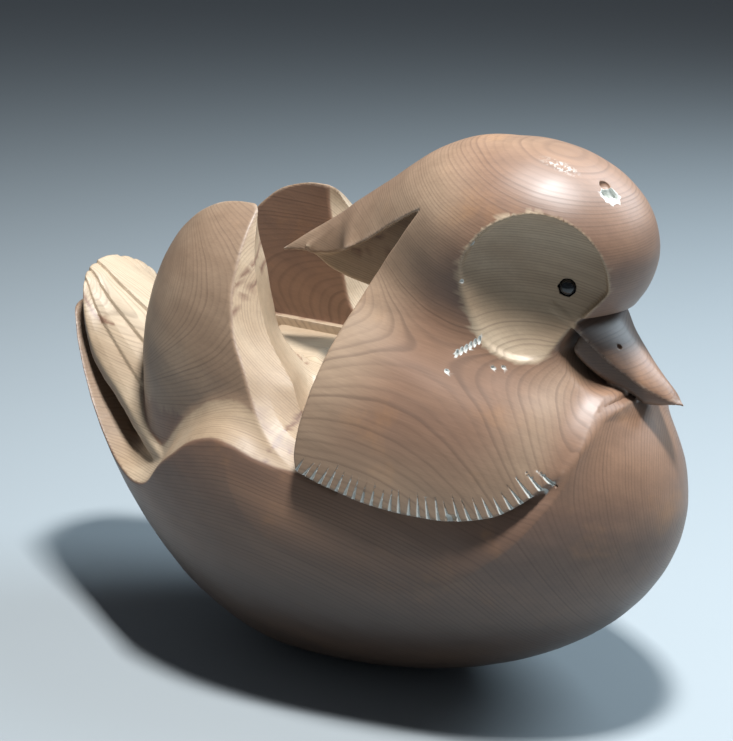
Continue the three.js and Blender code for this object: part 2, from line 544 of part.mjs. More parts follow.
// Merges the pair of neighbours whose loss changes the shape least, until the facets fit the budget.
// A vertex is held to the form's own planes rather than to its facets, so that edges stay crisp.
function thinFacets( form, { places, facets }, budget ) {
	const hold = 0.02;
	const probe = 0.1;
	const leastTurn = 0.2;
	const leastArea = 0.03;
	const spots = Array.from(
		{ length: places.length / 3 }, ( _, v ) => new THREE.Vector3().fromArray( places, v * 3 ) );
	const faces = Array.from( { length: facets.length / 3 }, ( _, f ) => facets.slice( f * 3, f * 3 + 3 ) );
	const around = spots.map( () => new Set() );
	const errors = spots.map( spot => pointError( spot, hold ) );
	const planes = spots.map( spot => {
		const normal = slopeOf( form, spot, probe ).normalize();
		return planeError( normal, - normal.dot( spot ), 1 );
	} );
	const edgeA = new THREE.Vector3();
	const edgeB = new THREE.Vector3();
	const facing = ( a, b, c ) => edgeA.subVectors( b, a ).cross( edgeB.subVectors( c, a ) ).clone();
	faces.forEach( ( face, f ) => {
		const area = facing( ...face.map( v => spots[ v ] ) ).length() / 2;
		const error = face.map( v => planes[ v ] ).reduce( addError ).map( value => value * area / face.length );
		for ( const v of face ) {
			around[ v ].add( f );
			errors[ v ] = addError( errors[ v ], error );
		}
	} );
	const neighbours = v => {
		const found = new Set();
		around[ v ].forEach( f => faces[ f ].forEach( other => found.add( other ) ) );
		found.delete( v );
		return found;
	};
	const queue = new CheapestFirst();
	const age = new Int32Array( spots.length );
	const offer = ( a, b ) => {
		const error = addError( errors[ a ], errors[ b ] );
		const best = bestPlace( error, spots[ a ], spots[ b ] );
		queue.push( { cost: errorAt( error, best ), a, b, best, ageA: age[ a ], ageB: age[ b ] } );
	};
	const offerAll = () => {
		for ( let v = 0; v < spots.length; v ++ ) {

			neighbours( v ).forEach( other => other > v && offer( v, other ) );

		}
	};
	const keepsShape = ( v, gone, place ) => [ ...around[ v ] ].every( f => {
		const face = faces[ f ];
		if ( face.includes( gone ) ) return true;
		const before = facing( ...face.map( n => spots[ n ] ) );
		const [ a, b, c ] = face.map( n => n === v ? place : spots[ n ] );
		const after = facing( a, b, c );
		const longest = Math.max( a.distanceTo( b ), b.distanceTo( c ), c.distanceTo( a ) );
		const turns = before.dot( after ) < leastTurn * before.length() * after.length();
		return ! turns && after.length() > leastArea * longest ** 2;
	} );
	let count = faces.length;
	let countAtOffer = Infinity;
	while ( count > budget ) {
		if ( queue.entries.length === 0 ) {
			if ( count === countAtOffer ) break;
			countAtOffer = count;
			offerAll();
		}
		const { a, b, best, ageA, ageB } = queue.pop();
		if ( age[ a ] !== ageA || age[ b ] !== ageB ) continue;
		const nearB = neighbours( b );
		const shared = [ ...neighbours( a ) ].filter( v => nearB.has( v ) );
		if ( shared.length !== 2 ) continue;
		const halfway = spots[ a ].clone().lerp( spots[ b ], 0.5 );
		const choices = [ best, halfway, spots[ a ].clone(), spots[ b ].clone() ];
		const place = choices.find( choice => keepsShape( a, b, choice ) && keepsShape( b, a, choice ) );
		if ( ! place ) continue;
		spots[ a ].copy( place );
		errors[ a ] = addError( errors[ a ], errors[ b ] );
		for ( const f of around[ b ] ) {
			if ( faces[ f ].includes( a ) ) {
				faces[ f ].forEach( v => v !== b && around[ v ].delete( f ) );
				faces[ f ] = null;
				count --;
			} else {
				faces[ f ] = faces[ f ].map( v => v === b ? a : v );
				around[ a ].add( f );
			}
		}
		around[ b ].clear();
		age[ a ] ++;
		age[ b ] = -1;
		neighbours( a ).forEach( other => offer( a, other ) );
	}
	return { spots, faces: faces.filter( face => face ) };
}

// Moves a vertex a little way along the slope of the form, onto its surface.
const drawing = { passes: 3, probe: 0.2, reach: 0.5, leastSteepness: 0.3 };
function drawOnto( form, spot ) {
	for ( let pass = 0; pass < drawing.passes; pass ++ ) {
		const slope = slopeOf( form, spot, drawing.probe );
		const steepness = Math.max( slope.lengthSq(), drawing.leastSteepness );
		const move = clamp( - form( ...spot ) / steepness, - drawing.reach, drawing.reach );
		spot.addScaledVector( slope, move );
	}
}

// Solids for cutting.
const wasm = await Module();
wasm.setup();

function solidFrom( positions, indices ) {
	return new wasm.Manifold( new wasm.Mesh( {
		numProp: 3,
		vertProperties: Float32Array.from( positions ),
		triVerts: Uint32Array.from( indices ) } ) );
}

function geometryFrom( solid ) {
	const { vertProperties, triVerts } = solid.getMesh();
	const geometry = new THREE.BufferGeometry();
	geometry.setAttribute( 'position', new THREE.BufferAttribute( vertProperties, 3 ) );
	geometry.setIndex( new THREE.BufferAttribute( triVerts, 1 ) );
	return geometry;
}

// A ball as a closed mesh: rings of latitude between two poles.
function ballSolid( centre, radius, rings = 10, around = 16 ) {
	const positions = [];
	const indices = [];
	for ( let i = 1; i < rings; i ++ ) {
		for ( let j = 0; j < around; j ++ ) {
			const down = Math.PI * i / rings;
			const turn = 2 * Math.PI * j / around;
			positions.push( ...new THREE.Vector3().setFromSphericalCoords( radius, down, turn ).add( centre ) );
		}
	}
	positions.push( ...centre.clone().setY( centre.y + radius ), ...centre.clone().setY( centre.y - radius ) );
	const top = ( rings - 1 ) * around;
	for ( let j = 0; j < around; j ++ ) {
		const next = ( j + 1 ) % around;
		indices.push( top, j, next );
		for ( let i = 0; i + 2 < rings; i ++ ) {
			const here = i * around;
			indices.push( here + j, here + around + j, here + next );
			indices.push( here + next, here + around + j, here + around + next );
		}
		indices.push( top + 1, top - around + next, top - around + j );
	}
	return solidFrom( positions, indices );
}

// Where a line across the duck at x and z leaves the face of the ruff.
function ruffSide( x, z ) {
	const cheek = ( ...point ) => cheekForm( ...point, hullForm( ...point ) );
	const outside = new THREE.Vector3( x, hull.halfWidth * 1.1, z );
	return surfaceBetween( cheek, new THREE.Vector3( x, 0, z ), outside );
}

// Knife cuts: narrow pointed notches that run up from the edge of the ruff.
function knifeCuts( side ) {
	const edge = new THREE.SplineCurve(
		[ ruffHeel, ...ruffEdge ].map( point => new THREE.Vector2( ...point ) ) );
	const centre = new THREE.Vector2( ...cuts.towards );
	const notches = edge.getSpacedPoints( cuts.count - 1 ).map( point => {
		const inward = centre.clone().sub( point ).normalize();
		const start = point.clone().addScaledVector( inward, - cuts.lead );
		const end = point.clone().addScaledVector( inward, cuts.length );
		const heel = ruffSide( start.x, start.y );
		const tip = ruffSide( end.x, end.y );
		const along = tip.clone().sub( heel );
		const outward = new THREE.Vector3( 0, 1, 0 )
			.addScaledVector( along, - along.y / along.lengthSq() ).normalize();
		const across = along.clone().cross( outward ).setLength( cuts.width / 2 );
		const corners = [
			heel.clone().addScaledVector( outward, cuts.lift ).add( across ),
			heel.clone().addScaledVector( outward, cuts.lift ).sub( across ),
			heel.clone().addScaledVector( outward, - cuts.depth ),
			tip.clone().addScaledVector( outward, cuts.lift / 2 ) ];
		const positions = corners.flatMap( ( { x, y, z } ) => [ x, y * side, z ] );
		const order = side > 0 ? [ 0, 1, 2, 0, 3, 1, 1, 3, 2, 2, 3, 0 ] : [ 0, 2, 1, 0, 1, 3, 1, 2, 3, 2, 0, 3 ];
		return solidFrom( positions, order );
	} );
	return wasm.Manifold.union( notches );
}

// Centre of a bead: on the floor of the dish, standing a little proud of it.
function beadCentre( side ) {
	const along = new THREE.Vector3( Math.cos( dish.facing ), - Math.sin( dish.facing ), 0 );
	const outward = new THREE.Vector3( Math.sin( dish.facing ), Math.cos( dish.facing ), 0 );
	const centre = new THREE.Vector3( dish.x, dish.y, dish.z + bead.up ).addScaledVector( along, bead.along );
	const inside = centre.clone().addScaledVector( outward, - dish.y );
	const outside = centre.clone().addScaledVector( outward, dish.y );
	const surface = surfaceBetween( carving, inside, outside );
	surface.addScaledVector( outward, bead.proud - bead.radius );
	return surface.setY( surface.y * side );
}

function carveDuck() {
	const { spots, faces } = thinFacets( carving, meshForm( carving ), facetBudget );
	for ( const spot of spots ) {
		const onFloor = spot.z < gridStep / 3;
		drawOnto( carving, spot );
		if ( onFloor ) spot.z = flatBottom;
	}
	const used = [ ...new Set( faces.flat() ) ];
	const renumber = new Map( used.map( ( v, i ) => [ v, i ] ) );
	const corners = faces.flat().map( v => renumber.get( v ) );
	const wood = solidFrom( used.flatMap( v => [ ...spots[ v ] ] ), corners );
	const sides = [ -1, 1 ];
	const socketRadius = bead.radius + bead.gap;
	const tools = sides.flatMap( side =>
		[ knifeCuts( side ), ballSolid( beadCentre( side ), socketRadius ) ] );
	return geometryFrom( wood.subtract( wasm.Manifold.union( tools ) ) );
}

const waxedWood = new THREE.MeshStandardMaterial( { color: 0x8a5a3c, roughness: 0.42, metalness: 0 } );
const blackGlass = new THREE.MeshStandardMaterial( { color: 0x0a0c14, roughness: 0.06, metalness: 0 } );

function makeBead( name, side ) {
	const mesh = new THREE.Mesh( new THREE.SphereGeometry( bead.radius, 16, 9 ), blackGlass );
	mesh.name = name;
	mesh.position.copy( beadCentre( side ) );
	return mesh;
}

const duck = new THREE.Group();
const body = new THREE.Mesh( carveDuck(), waxedWood );
body.name = 'duck';
duck.position.x = backToMiddle;
duck.add( body, makeBead( 'eye_right', -1 ), makeBead( 'eye_left', 1 ) );

export default duck;
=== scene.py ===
import math

import bmesh
import bpy
import numpy as np
from bpy.props import FloatProperty, FloatVectorProperty, PointerProperty
from bpy.types import Operator, Panel, PropertyGroup
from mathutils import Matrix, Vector


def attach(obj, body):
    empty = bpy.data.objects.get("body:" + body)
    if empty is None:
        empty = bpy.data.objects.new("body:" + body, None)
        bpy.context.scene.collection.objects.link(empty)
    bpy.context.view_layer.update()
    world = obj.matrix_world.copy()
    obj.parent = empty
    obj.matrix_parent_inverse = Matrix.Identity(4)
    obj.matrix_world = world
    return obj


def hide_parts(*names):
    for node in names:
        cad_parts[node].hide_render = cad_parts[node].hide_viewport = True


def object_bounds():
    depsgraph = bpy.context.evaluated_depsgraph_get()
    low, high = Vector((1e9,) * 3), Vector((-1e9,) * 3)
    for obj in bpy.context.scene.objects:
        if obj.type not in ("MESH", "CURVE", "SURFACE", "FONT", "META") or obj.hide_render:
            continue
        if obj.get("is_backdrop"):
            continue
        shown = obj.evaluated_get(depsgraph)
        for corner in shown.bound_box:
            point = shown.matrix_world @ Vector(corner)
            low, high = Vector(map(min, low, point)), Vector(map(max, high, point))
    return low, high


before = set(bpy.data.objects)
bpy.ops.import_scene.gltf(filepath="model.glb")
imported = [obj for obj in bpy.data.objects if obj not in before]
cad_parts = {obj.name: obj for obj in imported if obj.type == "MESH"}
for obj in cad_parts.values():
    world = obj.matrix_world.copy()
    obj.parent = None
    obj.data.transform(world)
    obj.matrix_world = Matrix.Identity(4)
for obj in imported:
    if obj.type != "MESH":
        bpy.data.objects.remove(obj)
cad_low, cad_high = (np.array(corner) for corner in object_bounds())

bl_info = {
    "name": "Carved wooden duck",
    "version": (1, 0, 0),
    "blender": (4, 5, 0),
    "location": "3D View > Sidebar > Carved duck",
    "description": "A waxed wooden duck carved from one block, with bead eyes, on a pale studio floor",
    "category": "Object",
}

# Sizes are in millimetres here, in the carver's coordinates: x forward, y to the duck's left, z up.
# The frame has the same axes in metres, with its origin BACK_TO_MIDDLE behind the carver's.
MM = 0.001
BACK_TO_MIDDLE = 11.0


# Driving sizes of the carving, as in the solids, and the finer steps of the fan's feathers.
HULL_X, HULL_Z = -20.0, 83.0
HULL_FRONT, HULL_REAR = 145.5, 132.5
HULL_HALF, HULL_DEPTH = 74.0, 86.0
TAIL_LIFT, TAIL_SWEEP, REAR_FULLNESS = 57.0, 2.0, 1.63
HEAD_X, HEAD_Z = 60.5, 173.0
HEAD_LENGTH, HEAD_HALF, HEAD_HEIGHT, NECK_BLEND = 50.0, 38.5, 36.0, 26.0
DOME_X, DOME_Z, DOME_REAR, DOME_FRONT = -46.5, 109.0, 55.5, 120.0
DOME_HALF, DOME_FLARE, DOME_HEIGHT, DOME_FULLNESS = 54.5, 14.0, 75.5, 2.05
FLARE_X, FLARE_Z = (-60, 15), (90, 170)
MOUND_DEPTH, MOUND_FOOT, MOUND_SPREAD, MOUND_SLOPE, MOUND_REAR = 24.0, 1.5, 0.8, 0.78, -60.0
NECK_REAR, NECK_EDGE, CREST_BLEND = -2.0, 6.0, 10.0
RUFF_UNDERCUT, RUFF_SKIN, RUFF_BEHIND, RUFF_REAR = 0.45, 2.0, 4.0, 6.0
DECK_RISE, DECK_RISE_X = 40.0, (25, 42)
CHANNEL_HALF, CHANNEL_FLOOR = 22.5, 116.5
LEDGE_HALF, LEDGE_Z, SAIL_FOOT = 18.5, 121.5, 66.0
FEATHER_STEP, FEATHER_WALL, FEATHER_CROWN = 1.3, 0.5, 1.6
FAN_THICKNESS, FAN_FRONT, FAN_FOOT_INSET, FAN_FOOT_DEPTH = 5.5, -45.0, 7.0, 2.0
DISH_X, DISH_Y, DISH_Z = 81.0, 28.0, 164.0
DISH_RADIUS, DISH_CHORD, DISH_FACING = 25.0, 19.5, math.radians(24)
DISH_DEPTH, DISH_HOLLOW, DISH_RAKE, DISH_TILT = 1.5, 5.6, 1.8, 1.6
CHORD_ALONG, CHORD_UP, DISH_RIM, DISH_FLOOR = 0.75, -0.66, 0.8, 1.5
BEAD_ALONG, BEAD_UP, BEAD_RADIUS, BEAD_PROUD, BEAD_GAP = 11.4, -1.2, 3.4, 1.3, 0.3
CUT_COUNT, CUT_LENGTH, CUT_WIDTH, CUT_DEPTH, CUTS_TOWARDS = 28, 9.0, 1.5, 1.2, (50.0, 150.0)
CUT_UNEVEN, CUT_LEAN = 0.4, 1.2
THROAT_GAP, BILL_ROOT, LOWER_BILL_INSET, BILL_FULLNESS = 3.0, 84.0, 2.5, 1.7

# Radii where two forms meet.
SHARP, CLOSE, EASED, FLOWING = 1.0, 2.0, 3.0, 7.0

# Some forms grow faster than the distance to them does. They are slowed by about as much.
SLIGHT, MEDIUM, STRONG = 0.85, 0.8, 0.75


def clamp(v, low, high):
    return np.minimum(high, np.maximum(low, v))


def ease(v, low, high):
    """Smoothly from 0 to 1 while v goes from low to high."""
    t = clamp((v - low) / (high - low), 0.0, 1.0)
    return t * t * (3.0 - 2.0 * t)


# The forms of the carving. Each gives about the distance to its surface, below zero inside the wood.
def fillet(gap, radius):
    """What a rounding of this radius adds where two forms lie this far apart."""
    h = np.maximum(radius - np.abs(gap), 0.0)
    return h * h / (4.0 * radius)


def join(a, b, radius):
    return np.minimum(a, b) - fillet(a - b, radius)


def both(a, b, radius):
    return np.maximum(a, b) + fillet(a - b, radius)


def cut(a, b, radius):
    return both(a, -b, radius)


class Profile:
    """A smooth curve through (place, value) pairs, kept as a fine ruler."""

    MARKS = 512

    def __init__(self, *pairs):
        places, values = np.array(pairs, dtype=float).T
        self.first, self.last = places[0], places[-1]
        at = np.linspace(self.first, self.last, self.MARKS + 1)
        i1 = np.clip(np.searchsorted(places, at, side="right"), 1, len(places) - 1)
        i0 = i1 - 1
        before = np.where(i0 > 0, i0 - 1, i1)
        after = np.where(i1 < len(places) - 1, i1 + 1, i0)
        half = (places[i1] - places[i0]) / 2
        w0 = half / (places[i0] - places[before])
        w1 = half / (places[after] - places[i1])
        p = (at - places[i0]) / (places[i1] - places[i0])
        p2, p3 = p * p, p * p * p
        self.ruler = ((-w0 * p3 + 2 * w0 * p2 - w0 * p) * values[before]
                      + ((1 + w0) * p3 - (1.5 + 2 * w0) * p2 + (w0 - 0.5) * p + 1) * values[i0]
                      + ((-1 - w1) * p3 + (1.5 + w1) * p2 + 0.5 * p) * values[i1]
                      + (w1 * p3 - w1 * p2) * values[after])
        self.steps = np.append(np.diff(self.ruler), 0.0)

    def __call__(self, place):
        t = clamp((place - self.first) * (self.MARKS / (self.last - self.first)), 0.0, self.MARKS)
        i = t.astype(np.int32)
        return self.ruler[i] + self.steps[i] * (t - i)


def smooth_points(points):
    """Points along the smooth line through the given ones, ten for each."""
    p = np.array(points, dtype=float)
    count = 10 * len(p)
    t = np.linspace(0, len(p) - 1, count + 1)
    i = np.minimum(t.astype(int), len(p) - 1)
    f = (t - i)[:, None]
    last = len(p) - 1
    p0 = p[np.where(i == 0, i, i - 1)]
    p1 = p[i]
    p2 = p[np.where(i > last - 1, last, i + 1)]
    p3 = p[np.where(i > last - 2, last, i + 2)]
    v0, v1 = (p2 - p0) / 2, (p3 - p1) / 2
    return (2 * p1 - 2 * p2 + v0 + v1) * f ** 3 + (-3 * p1 + 3 * p2 - 2 * v0 - v1) * f ** 2 + v0 * f + p1


class Outline:
    """Distance to a closed line in a flat view, below zero inside it, kept on a grid of 1 mm cells."""

    def __init__(self, box, start, *stretches):
        points = [start]
        for kind, stretch in stretches:
            if kind == "smooth":
                points += [tuple(q) for q in smooth_points([points[-1]] + list(stretch))[1:]]
            else:
                points += list(stretch)
        a = np.array(points, dtype=float)
        keep = np.append(True, np.hypot(*(a[1:] - a[:-1]).T) > 1e-9)
        a = a[keep]
        b = np.roll(a, -1, axis=0)
        self.left, self.low, right, high = box
        self.across, self.up = right - self.left + 1, high - self.low + 1
        columns = self.left + np.arange(self.across, dtype=float)
        rows = self.low + np.arange(self.up, dtype=float)
        x, y = np.meshgrid(columns, rows)
        best = np.full(x.shape, np.inf)
        inside = np.zeros(x.shape, dtype=bool)
        for (ax, ay), (bx, by) in zip(a, b):
            ex, ey = bx - ax, by - ay
            length = ex * ex + ey * ey
            if length < 1e-12:
                continue
            t = clamp(((x - ax) * ex + (y - ay) * ey) / length, 0, 1)
            best = np.minimum(best, np.hypot(x - ax - t * ex, y - ay - t * ey))
            if ay != by:
                inside ^= ((ay > y) != (by > y)) & (x < ax + (y - ay) / (by - ay) * ex)
        self.grid = np.where(inside, -best, best).ravel()

    def __call__(self, x, y):
        s = clamp(x - self.left, 0, self.across - 1.001)
        t = clamp(y - self.low, 0, self.up - 1.001)
        i, j = s.astype(np.int32), t.astype(np.int32)
        fs, ft = s - i, t - j
        c = j * self.across + i
        g = self.grid
        low = g[c] + (g[c + 1] - g[c]) * fs
        c = c + self.across
        high = g[c] + (g[c + 1] - g[c]) * fs
        return low + (high - low) * ft


def from_scale(scale, u, v, w):
    """About the distance to a round form, from how many times as large it would reach the point."""
    return np.sqrt(u * u + v * v + w * w) * (1 - 1 / np.maximum(scale, 0.001))


def hull_form(x, y, z):
    """The hull and the breast, with the tail end swept up."""
    u = x - HULL_X
    rear = u < 0
    reach = np.where(rear, -u / HULL_REAR, u / HULL_FRONT)
    v = z - HULL_Z - np.where(rear, TAIL_LIFT * reach ** TAIL_SWEEP, 0)
    girth = np.sqrt((y / HULL_HALF) ** 2 + (v / HULL_DEPTH) ** 2)
    power = np.where(rear, REAR_FULLNESS, 2.0)
    return from_scale((reach ** power + girth ** power) ** (1 / power), u, y, v)


def head_form(x, y, z):
    u, v = x - HEAD_X, z - HEAD_Z
    scale = np.sqrt((u / HEAD_LENGTH) ** 2 + (y / HEAD_HALF) ** 2 + (v / HEAD_HEIGHT) ** 2)
    return from_scale(scale, u, y, v)


CREST_TOP = Profile((-48, 154.5), (-32, 164.5), (-19.5, 172), (1, 185.5), (26, 198.5), (45, 204), (70, 204))
CREST_HALF = Profile((-48, 0.3), (-45, 0.8), (-38, 4), (-20, 9.5), (0, 15), (26, 24), (50, 32))
CREST_DEPTH = Profile((-48, 1.5), (-45, 2.5), (-38, 8), (-20, 16), (0, 20), (26, 28), (50, 34))
CREST_END, CREST_END_BLEND = 48.0, 12.0


def crest_form(x, y, z):
    depth = CREST_DEPTH(x)
    v = z - CREST_TOP(x) + depth
    section = from_scale(np.sqrt((y / CREST_HALF(x)) ** 2 + (v / depth) ** 2), 0.0, y, v)
    return both(section * SLIGHT, x - CREST_END, CREST_END_BLEND)


RUFF_HEEL = (13, 97)
RUFF_EDGE = ((25, 93.5), (43.5, 89), (65.5, 87), (78, 88.5), (87, 92.5), (97, 102))
RUFF_FRONT = ((102.5, 115), (104, 122))
RUFF_SETTLE = Profile((80, 1.5), (90, 1.5), (97, 5), (104, 12))
RUFF_LINE = Outline((-70, 40, 150, 235), (-47, 155),
                    ("smooth", ((-36, 157), (-27.5, 158), (-12.5, 160.5), (6.5, 168.5), (23, 178),
                                (38, 186))),
                    ("smooth", ((30, 175.5), (22.5, 165.5), (18.5, 156), (15, 136), (12, 115),
                                (11.5, 104), RUFF_HEEL)),
                    ("smooth", RUFF_EDGE + RUFF_FRONT),
                    ("straight", ((112, 130), (150, 130), (150, 230), (-60, 230), (-60, 157))))
THROAT_LINE = Outline((70, 90, 150, 175), (130, 154),
                      ("straight", ((101, 153.5), (94, 153))),
                      ("smooth", ((90.5, 148.5), (88, 142), (89.5, 137.5), (95.5, 130.5), (102, 125.5),
                                  (108, 122.5), (116, 113))),
                      ("straight", ((130, 98),)))
BILL_TOP = Profile((80, 164), (95, 153.5), (100.5, 148.5), (107, 141.5), (115.5, 133), (121, 128),
                   (124.5, 123))
BILL_MOUTH = Profile((80, 158), (92, 149.5), (100, 140), (109, 132), (118, 126), (126, 122.5))
BILL_HALF = Profile((80, 24), (92, 20), (100, 14.5), (109, 10), (118, 5.5), (123, 3), (125, 0.5), (130, -5))
LOWER_BILL_DEPTH = Profile((80, 13), (92, 12.5), (100, 11), (109, 8.5), (117, 4.5), (121, 2), (125, 0.8))


def bill_form(x, y, z, throat):
    """The upper half with a narrow ridge, and the lower half that fills the throat but for a gap."""
    mouth, half = BILL_MOUTH(x), BILL_HALF(x)
    height = np.maximum(BILL_TOP(x) - mouth, 1)
    rise = np.maximum(z - mouth, 0)
    power = BILL_FULLNESS
    roof = ((y / np.maximum(half, 1)) ** power + (rise / height) ** power) ** (1 / power)
    upper = both(both(from_scale(roof, 0.0, y, rise), y - half, SHARP) * MEDIUM, mouth - z, SHARP)
    keel = np.maximum(throat + THROAT_GAP, mouth - LOWER_BILL_DEPTH(x) - z)
    lower = both(both(keel, y - half + LOWER_BILL_INSET, EASED), z - mouth - 1, SHARP) * MEDIUM
    return both(np.minimum(upper, lower), BILL_ROOT - x, SHARP)


def dish_frame(x, y, z):
    """The place seen from an eye dish: along its floor, up, and out of it."""
    dx, dy = x - DISH_X, y - DISH_Y
    c, s = math.cos(DISH_FACING), math.sin(DISH_FACING)
    return dx * c - dy * s, z - DISH_Z, dx * s + dy * c


def dish_form(x, y, z):
    """What is cut away for an eye dish: a round with a flat front edge and a hollowed, raked floor."""
    along, up, out = dish_frame(x, y, z)
    reach2 = along * along + up * up
    reach = np.sqrt(reach2)
    hollow = DISH_HOLLOW * (1 - reach2 / DISH_RADIUS ** 2)
    slope = DISH_DEPTH + (DISH_RAKE * along + DISH_TILT * up) / DISH_RADIUS
    rim = both(reach - DISH_RADIUS, (CHORD_ALONG * along + CHORD_UP * up) - DISH_CHORD, SHARP)
    return both(rim, (-slope - hollow - out) * SLIGHT, DISH_FLOOR)


SCOOP_WIDTH = Profile((0, 30), (40, 34), (64, 26), (86, 13), (98, 6), (106, 3), (130, 3))
SCOOP_DEPTH = Profile((0, 6.5), (60, 6.5), (85, 5.5), (98, 3), (104, 1), (108, 0), (130, 0))
SCOOP_FADE = 1.3


def scoop_at(x, from_ruff):
    """How deep the hull is hollowed under the edge of the ruff."""
    fade = np.where(from_ruff < 0, 1.0, np.maximum(0, 1 - from_ruff / SCOOP_WIDTH(x)))
    return SCOOP_DEPTH(x) * fade ** SCOOP_FADE


RIM_HEIGHT = Profile((-153, 121), (-147, 122.5), (-141, 121), (-136, 114.5), (-130, 107), (-119, 94),
                     (-109, 84.5), (-97, 76), (-84, 72), (-72, 71.5), (-62, 75.5), (-52, 85.5), (-45, 91),
                     (-37, 97), (-29.5, 100.5), (-22, 102), (-15, 100.5), (-6, 96), (3, 92.5), (11, 90),
                     (25, 86), (45, 80))
DECK_SLOPE = Profile((-153, 0.2), (-95, 0.2), (-75, 0.35), (-55, 0.7), (20, 0.7))
DECK_WIDTH = 14.0


def dome_form(x, y, z):
    """The dome that the two sails are cut from."""
    u = x - DOME_X
    v = np.maximum(z - DOME_Z, 0)
    half = DOME_HALF + DOME_FLARE * ease(x, *FLARE_X) * (1 - ease(z, *FLARE_Z))
    power = DOME_FULLNESS
    length = np.abs(u) / np.where(u < 0, DOME_REAR, DOME_FRONT)
    scale = length ** power + (y / half) ** power + (v / DOME_HEIGHT) ** power
    return np.maximum(from_scale(scale ** (1 / power), u, y, v), SAIL_FOOT - z)


INNER_EDGE = Profile((85, -8), (100, -12), (118.5, -19), (125, -26), (130, -30), (141.5, -33.5),
                     (154.5, -36), (168, -40), (179, -41))
RIDGE_X = Profile((85, 9), (100, 2), (113.5, -5), (118.5, -8), (125.5, -15.5), (133.5, -22.5), (142, -27),
                  (152.5, -31), (166, -35), (174, -37.5), (179, -38.5))
RIDGE_Y = Profile((85, 50), (100, 48), (113.5, 46), (125.5, 42), (142, 38), (152.5, 36), (166, 31),
                  (174, 26), (179, 23.5))
OUTER_EDGE = Profile((84, 12), (90.5, 6.5), (96, 1.5), (103, -6.5), (111.5, -13.5), (124.5, -21.5),
                     (134, -28), (143.5, -32), (150, -34), (159.5, -35.5), (174.5, -37.5), (179, -38.5))
OUTER_EDGE_Y = Profile((84, 61), (96, 61.5), (111.5, 60), (124.5, 56.5), (134, 53), (143.5, 49),
                       (150, 46), (159.5, 41), (166.5, 35.5), (174.5, 27.5), (179, 25))


def sail_front(y, z):
    """How far forward a sail reaches: two bevels that meet in a ridge."""
    x, ridge_y = RIDGE_X(z), RIDGE_Y(z)
    from_ridge = y - ridge_y
    outer = x + (OUTER_EDGE(z) - x) * from_ridge / (OUTER_EDGE_Y(z) - ridge_y)
    inner = x + (INNER_EDGE(z) - x) * from_ridge / (CHANNEL_HALF - ridge_y)
    return np.minimum(outer, inner)


def sail_form(x, y, z):
    channel = np.maximum(y - CHANNEL_HALF, np.where(y > LEDGE_HALF, LEDGE_Z, CHANNEL_FLOOR) - z)
    bevelled = both(dome_form(x, y, z), (x - sail_front(y, z)) * MEDIUM, SHARP)
    return cut(bevelled, channel, SHARP)


def mound_form(x, y, z, shell):
    """The wood left standing inside the hull at the foot of a sail."""
    side = y - CHANNEL_HALF - MOUND_FOOT - MOUND_SPREAD * (CHANNEL_FLOOR - z)
    mound = both(shell + MOUND_DEPTH, side * MOUND_SLOPE, EASED)
    return both(both(mound, z - CHANNEL_FLOOR, CLOSE), MOUND_REAR - x, EASED)


WEB_LINE = Outline((-40, 130, 60, 200), (-30, 160),
                   ("smooth", ((-24, 156), (-16.5, 152), (-3.5, 149), (14, 146), (30, 146))),
                   ("straight", ((44, 190), (20, 190), (-20, 166))))
WEB_HALF = 7.0
FAN_TOP = Profile((-150, 144), (-141, 140.5), (-124, 133), (-100, 121.5), (-84, 114), (-50, 96))
FAN_SIDE = Profile((-145, 136), (-141, 135.5), (-137, 134), (-134, 130.5), (-131, 123.5), (-124, 112.5),
                   (-116, 106), (-100, 95.5), (-84, 87.5), (-69, 83.5), (-50, 80))
FAN_HALF = Profile((-145, 17), (-137, 20), (-131, 25), (-116, 32.5), (-84, 45), (-69, 53), (-50, 58))
FAN_LINE = Outline((-155, -1, -40, 75), (-141, 0),
                   ("smooth", ((-140.5, 7), (-139, 13.5), (-136, 19), (-132.5, 23.5), (-127, 27.5),
                               (-116, 32.5), (-100, 38), (-84, 45), (-69, 53), (FAN_FRONT, 62))),
                   ("straight", ((FAN_FRONT, -10), (-141, -10))))
FEATHER_LINES = (Profile((-141, 6), (-110, 10), (-60, 16)),
                 Profile((-141, 11.5), (-137, 12.5), (-102, 21), (-60, 32)),
                 Profile((-141, 15), (-137, 17), (-120, 23.5), (-90, 34), (-60, 44)),
                 FAN_HALF)


def fan_face(x, y):
    """Height of the fan's upper face, feather over feather."""
    top = FAN_TOP(x)
    droop = (top - FAN_SIDE(x)) * (y / FAN_HALF(x)) ** 2
    rise = np.ones_like(x)
    inner = FEATHER_LINES[0](x)
    for line in FEATHER_LINES[1:]:
        outer = line(x)
        past = y - inner
        crown = clamp(FEATHER_CROWN * past / (outer - inner), 0, 1)
        rise = np.where(past > 0, np.maximum(crown, 1 - past / FEATHER_WALL), rise)
        inner = outer
    return top - droop - FEATHER_STEP * (1 - rise)


def fan_form(x, y, z, shell):
    """The fan: a thin plate on a foot that is set back from its edge."""
    face = fan_face(x, y)
    edge = FAN_LINE(x, y)
    plate = both((z - face) * STRONG, (face - FAN_THICKNESS - z) * STRONG, SHARP)
    plate = both(plate, edge, SHARP)
    foot = both((z - face + FAN_FOOT_DEPTH) * STRONG, edge + FAN_FOOT_INSET, CLOSE)
    foot = both(foot, shell, SHARP)
    return both(join(plate, foot, SHARP), x - FAN_FRONT, SHARP)


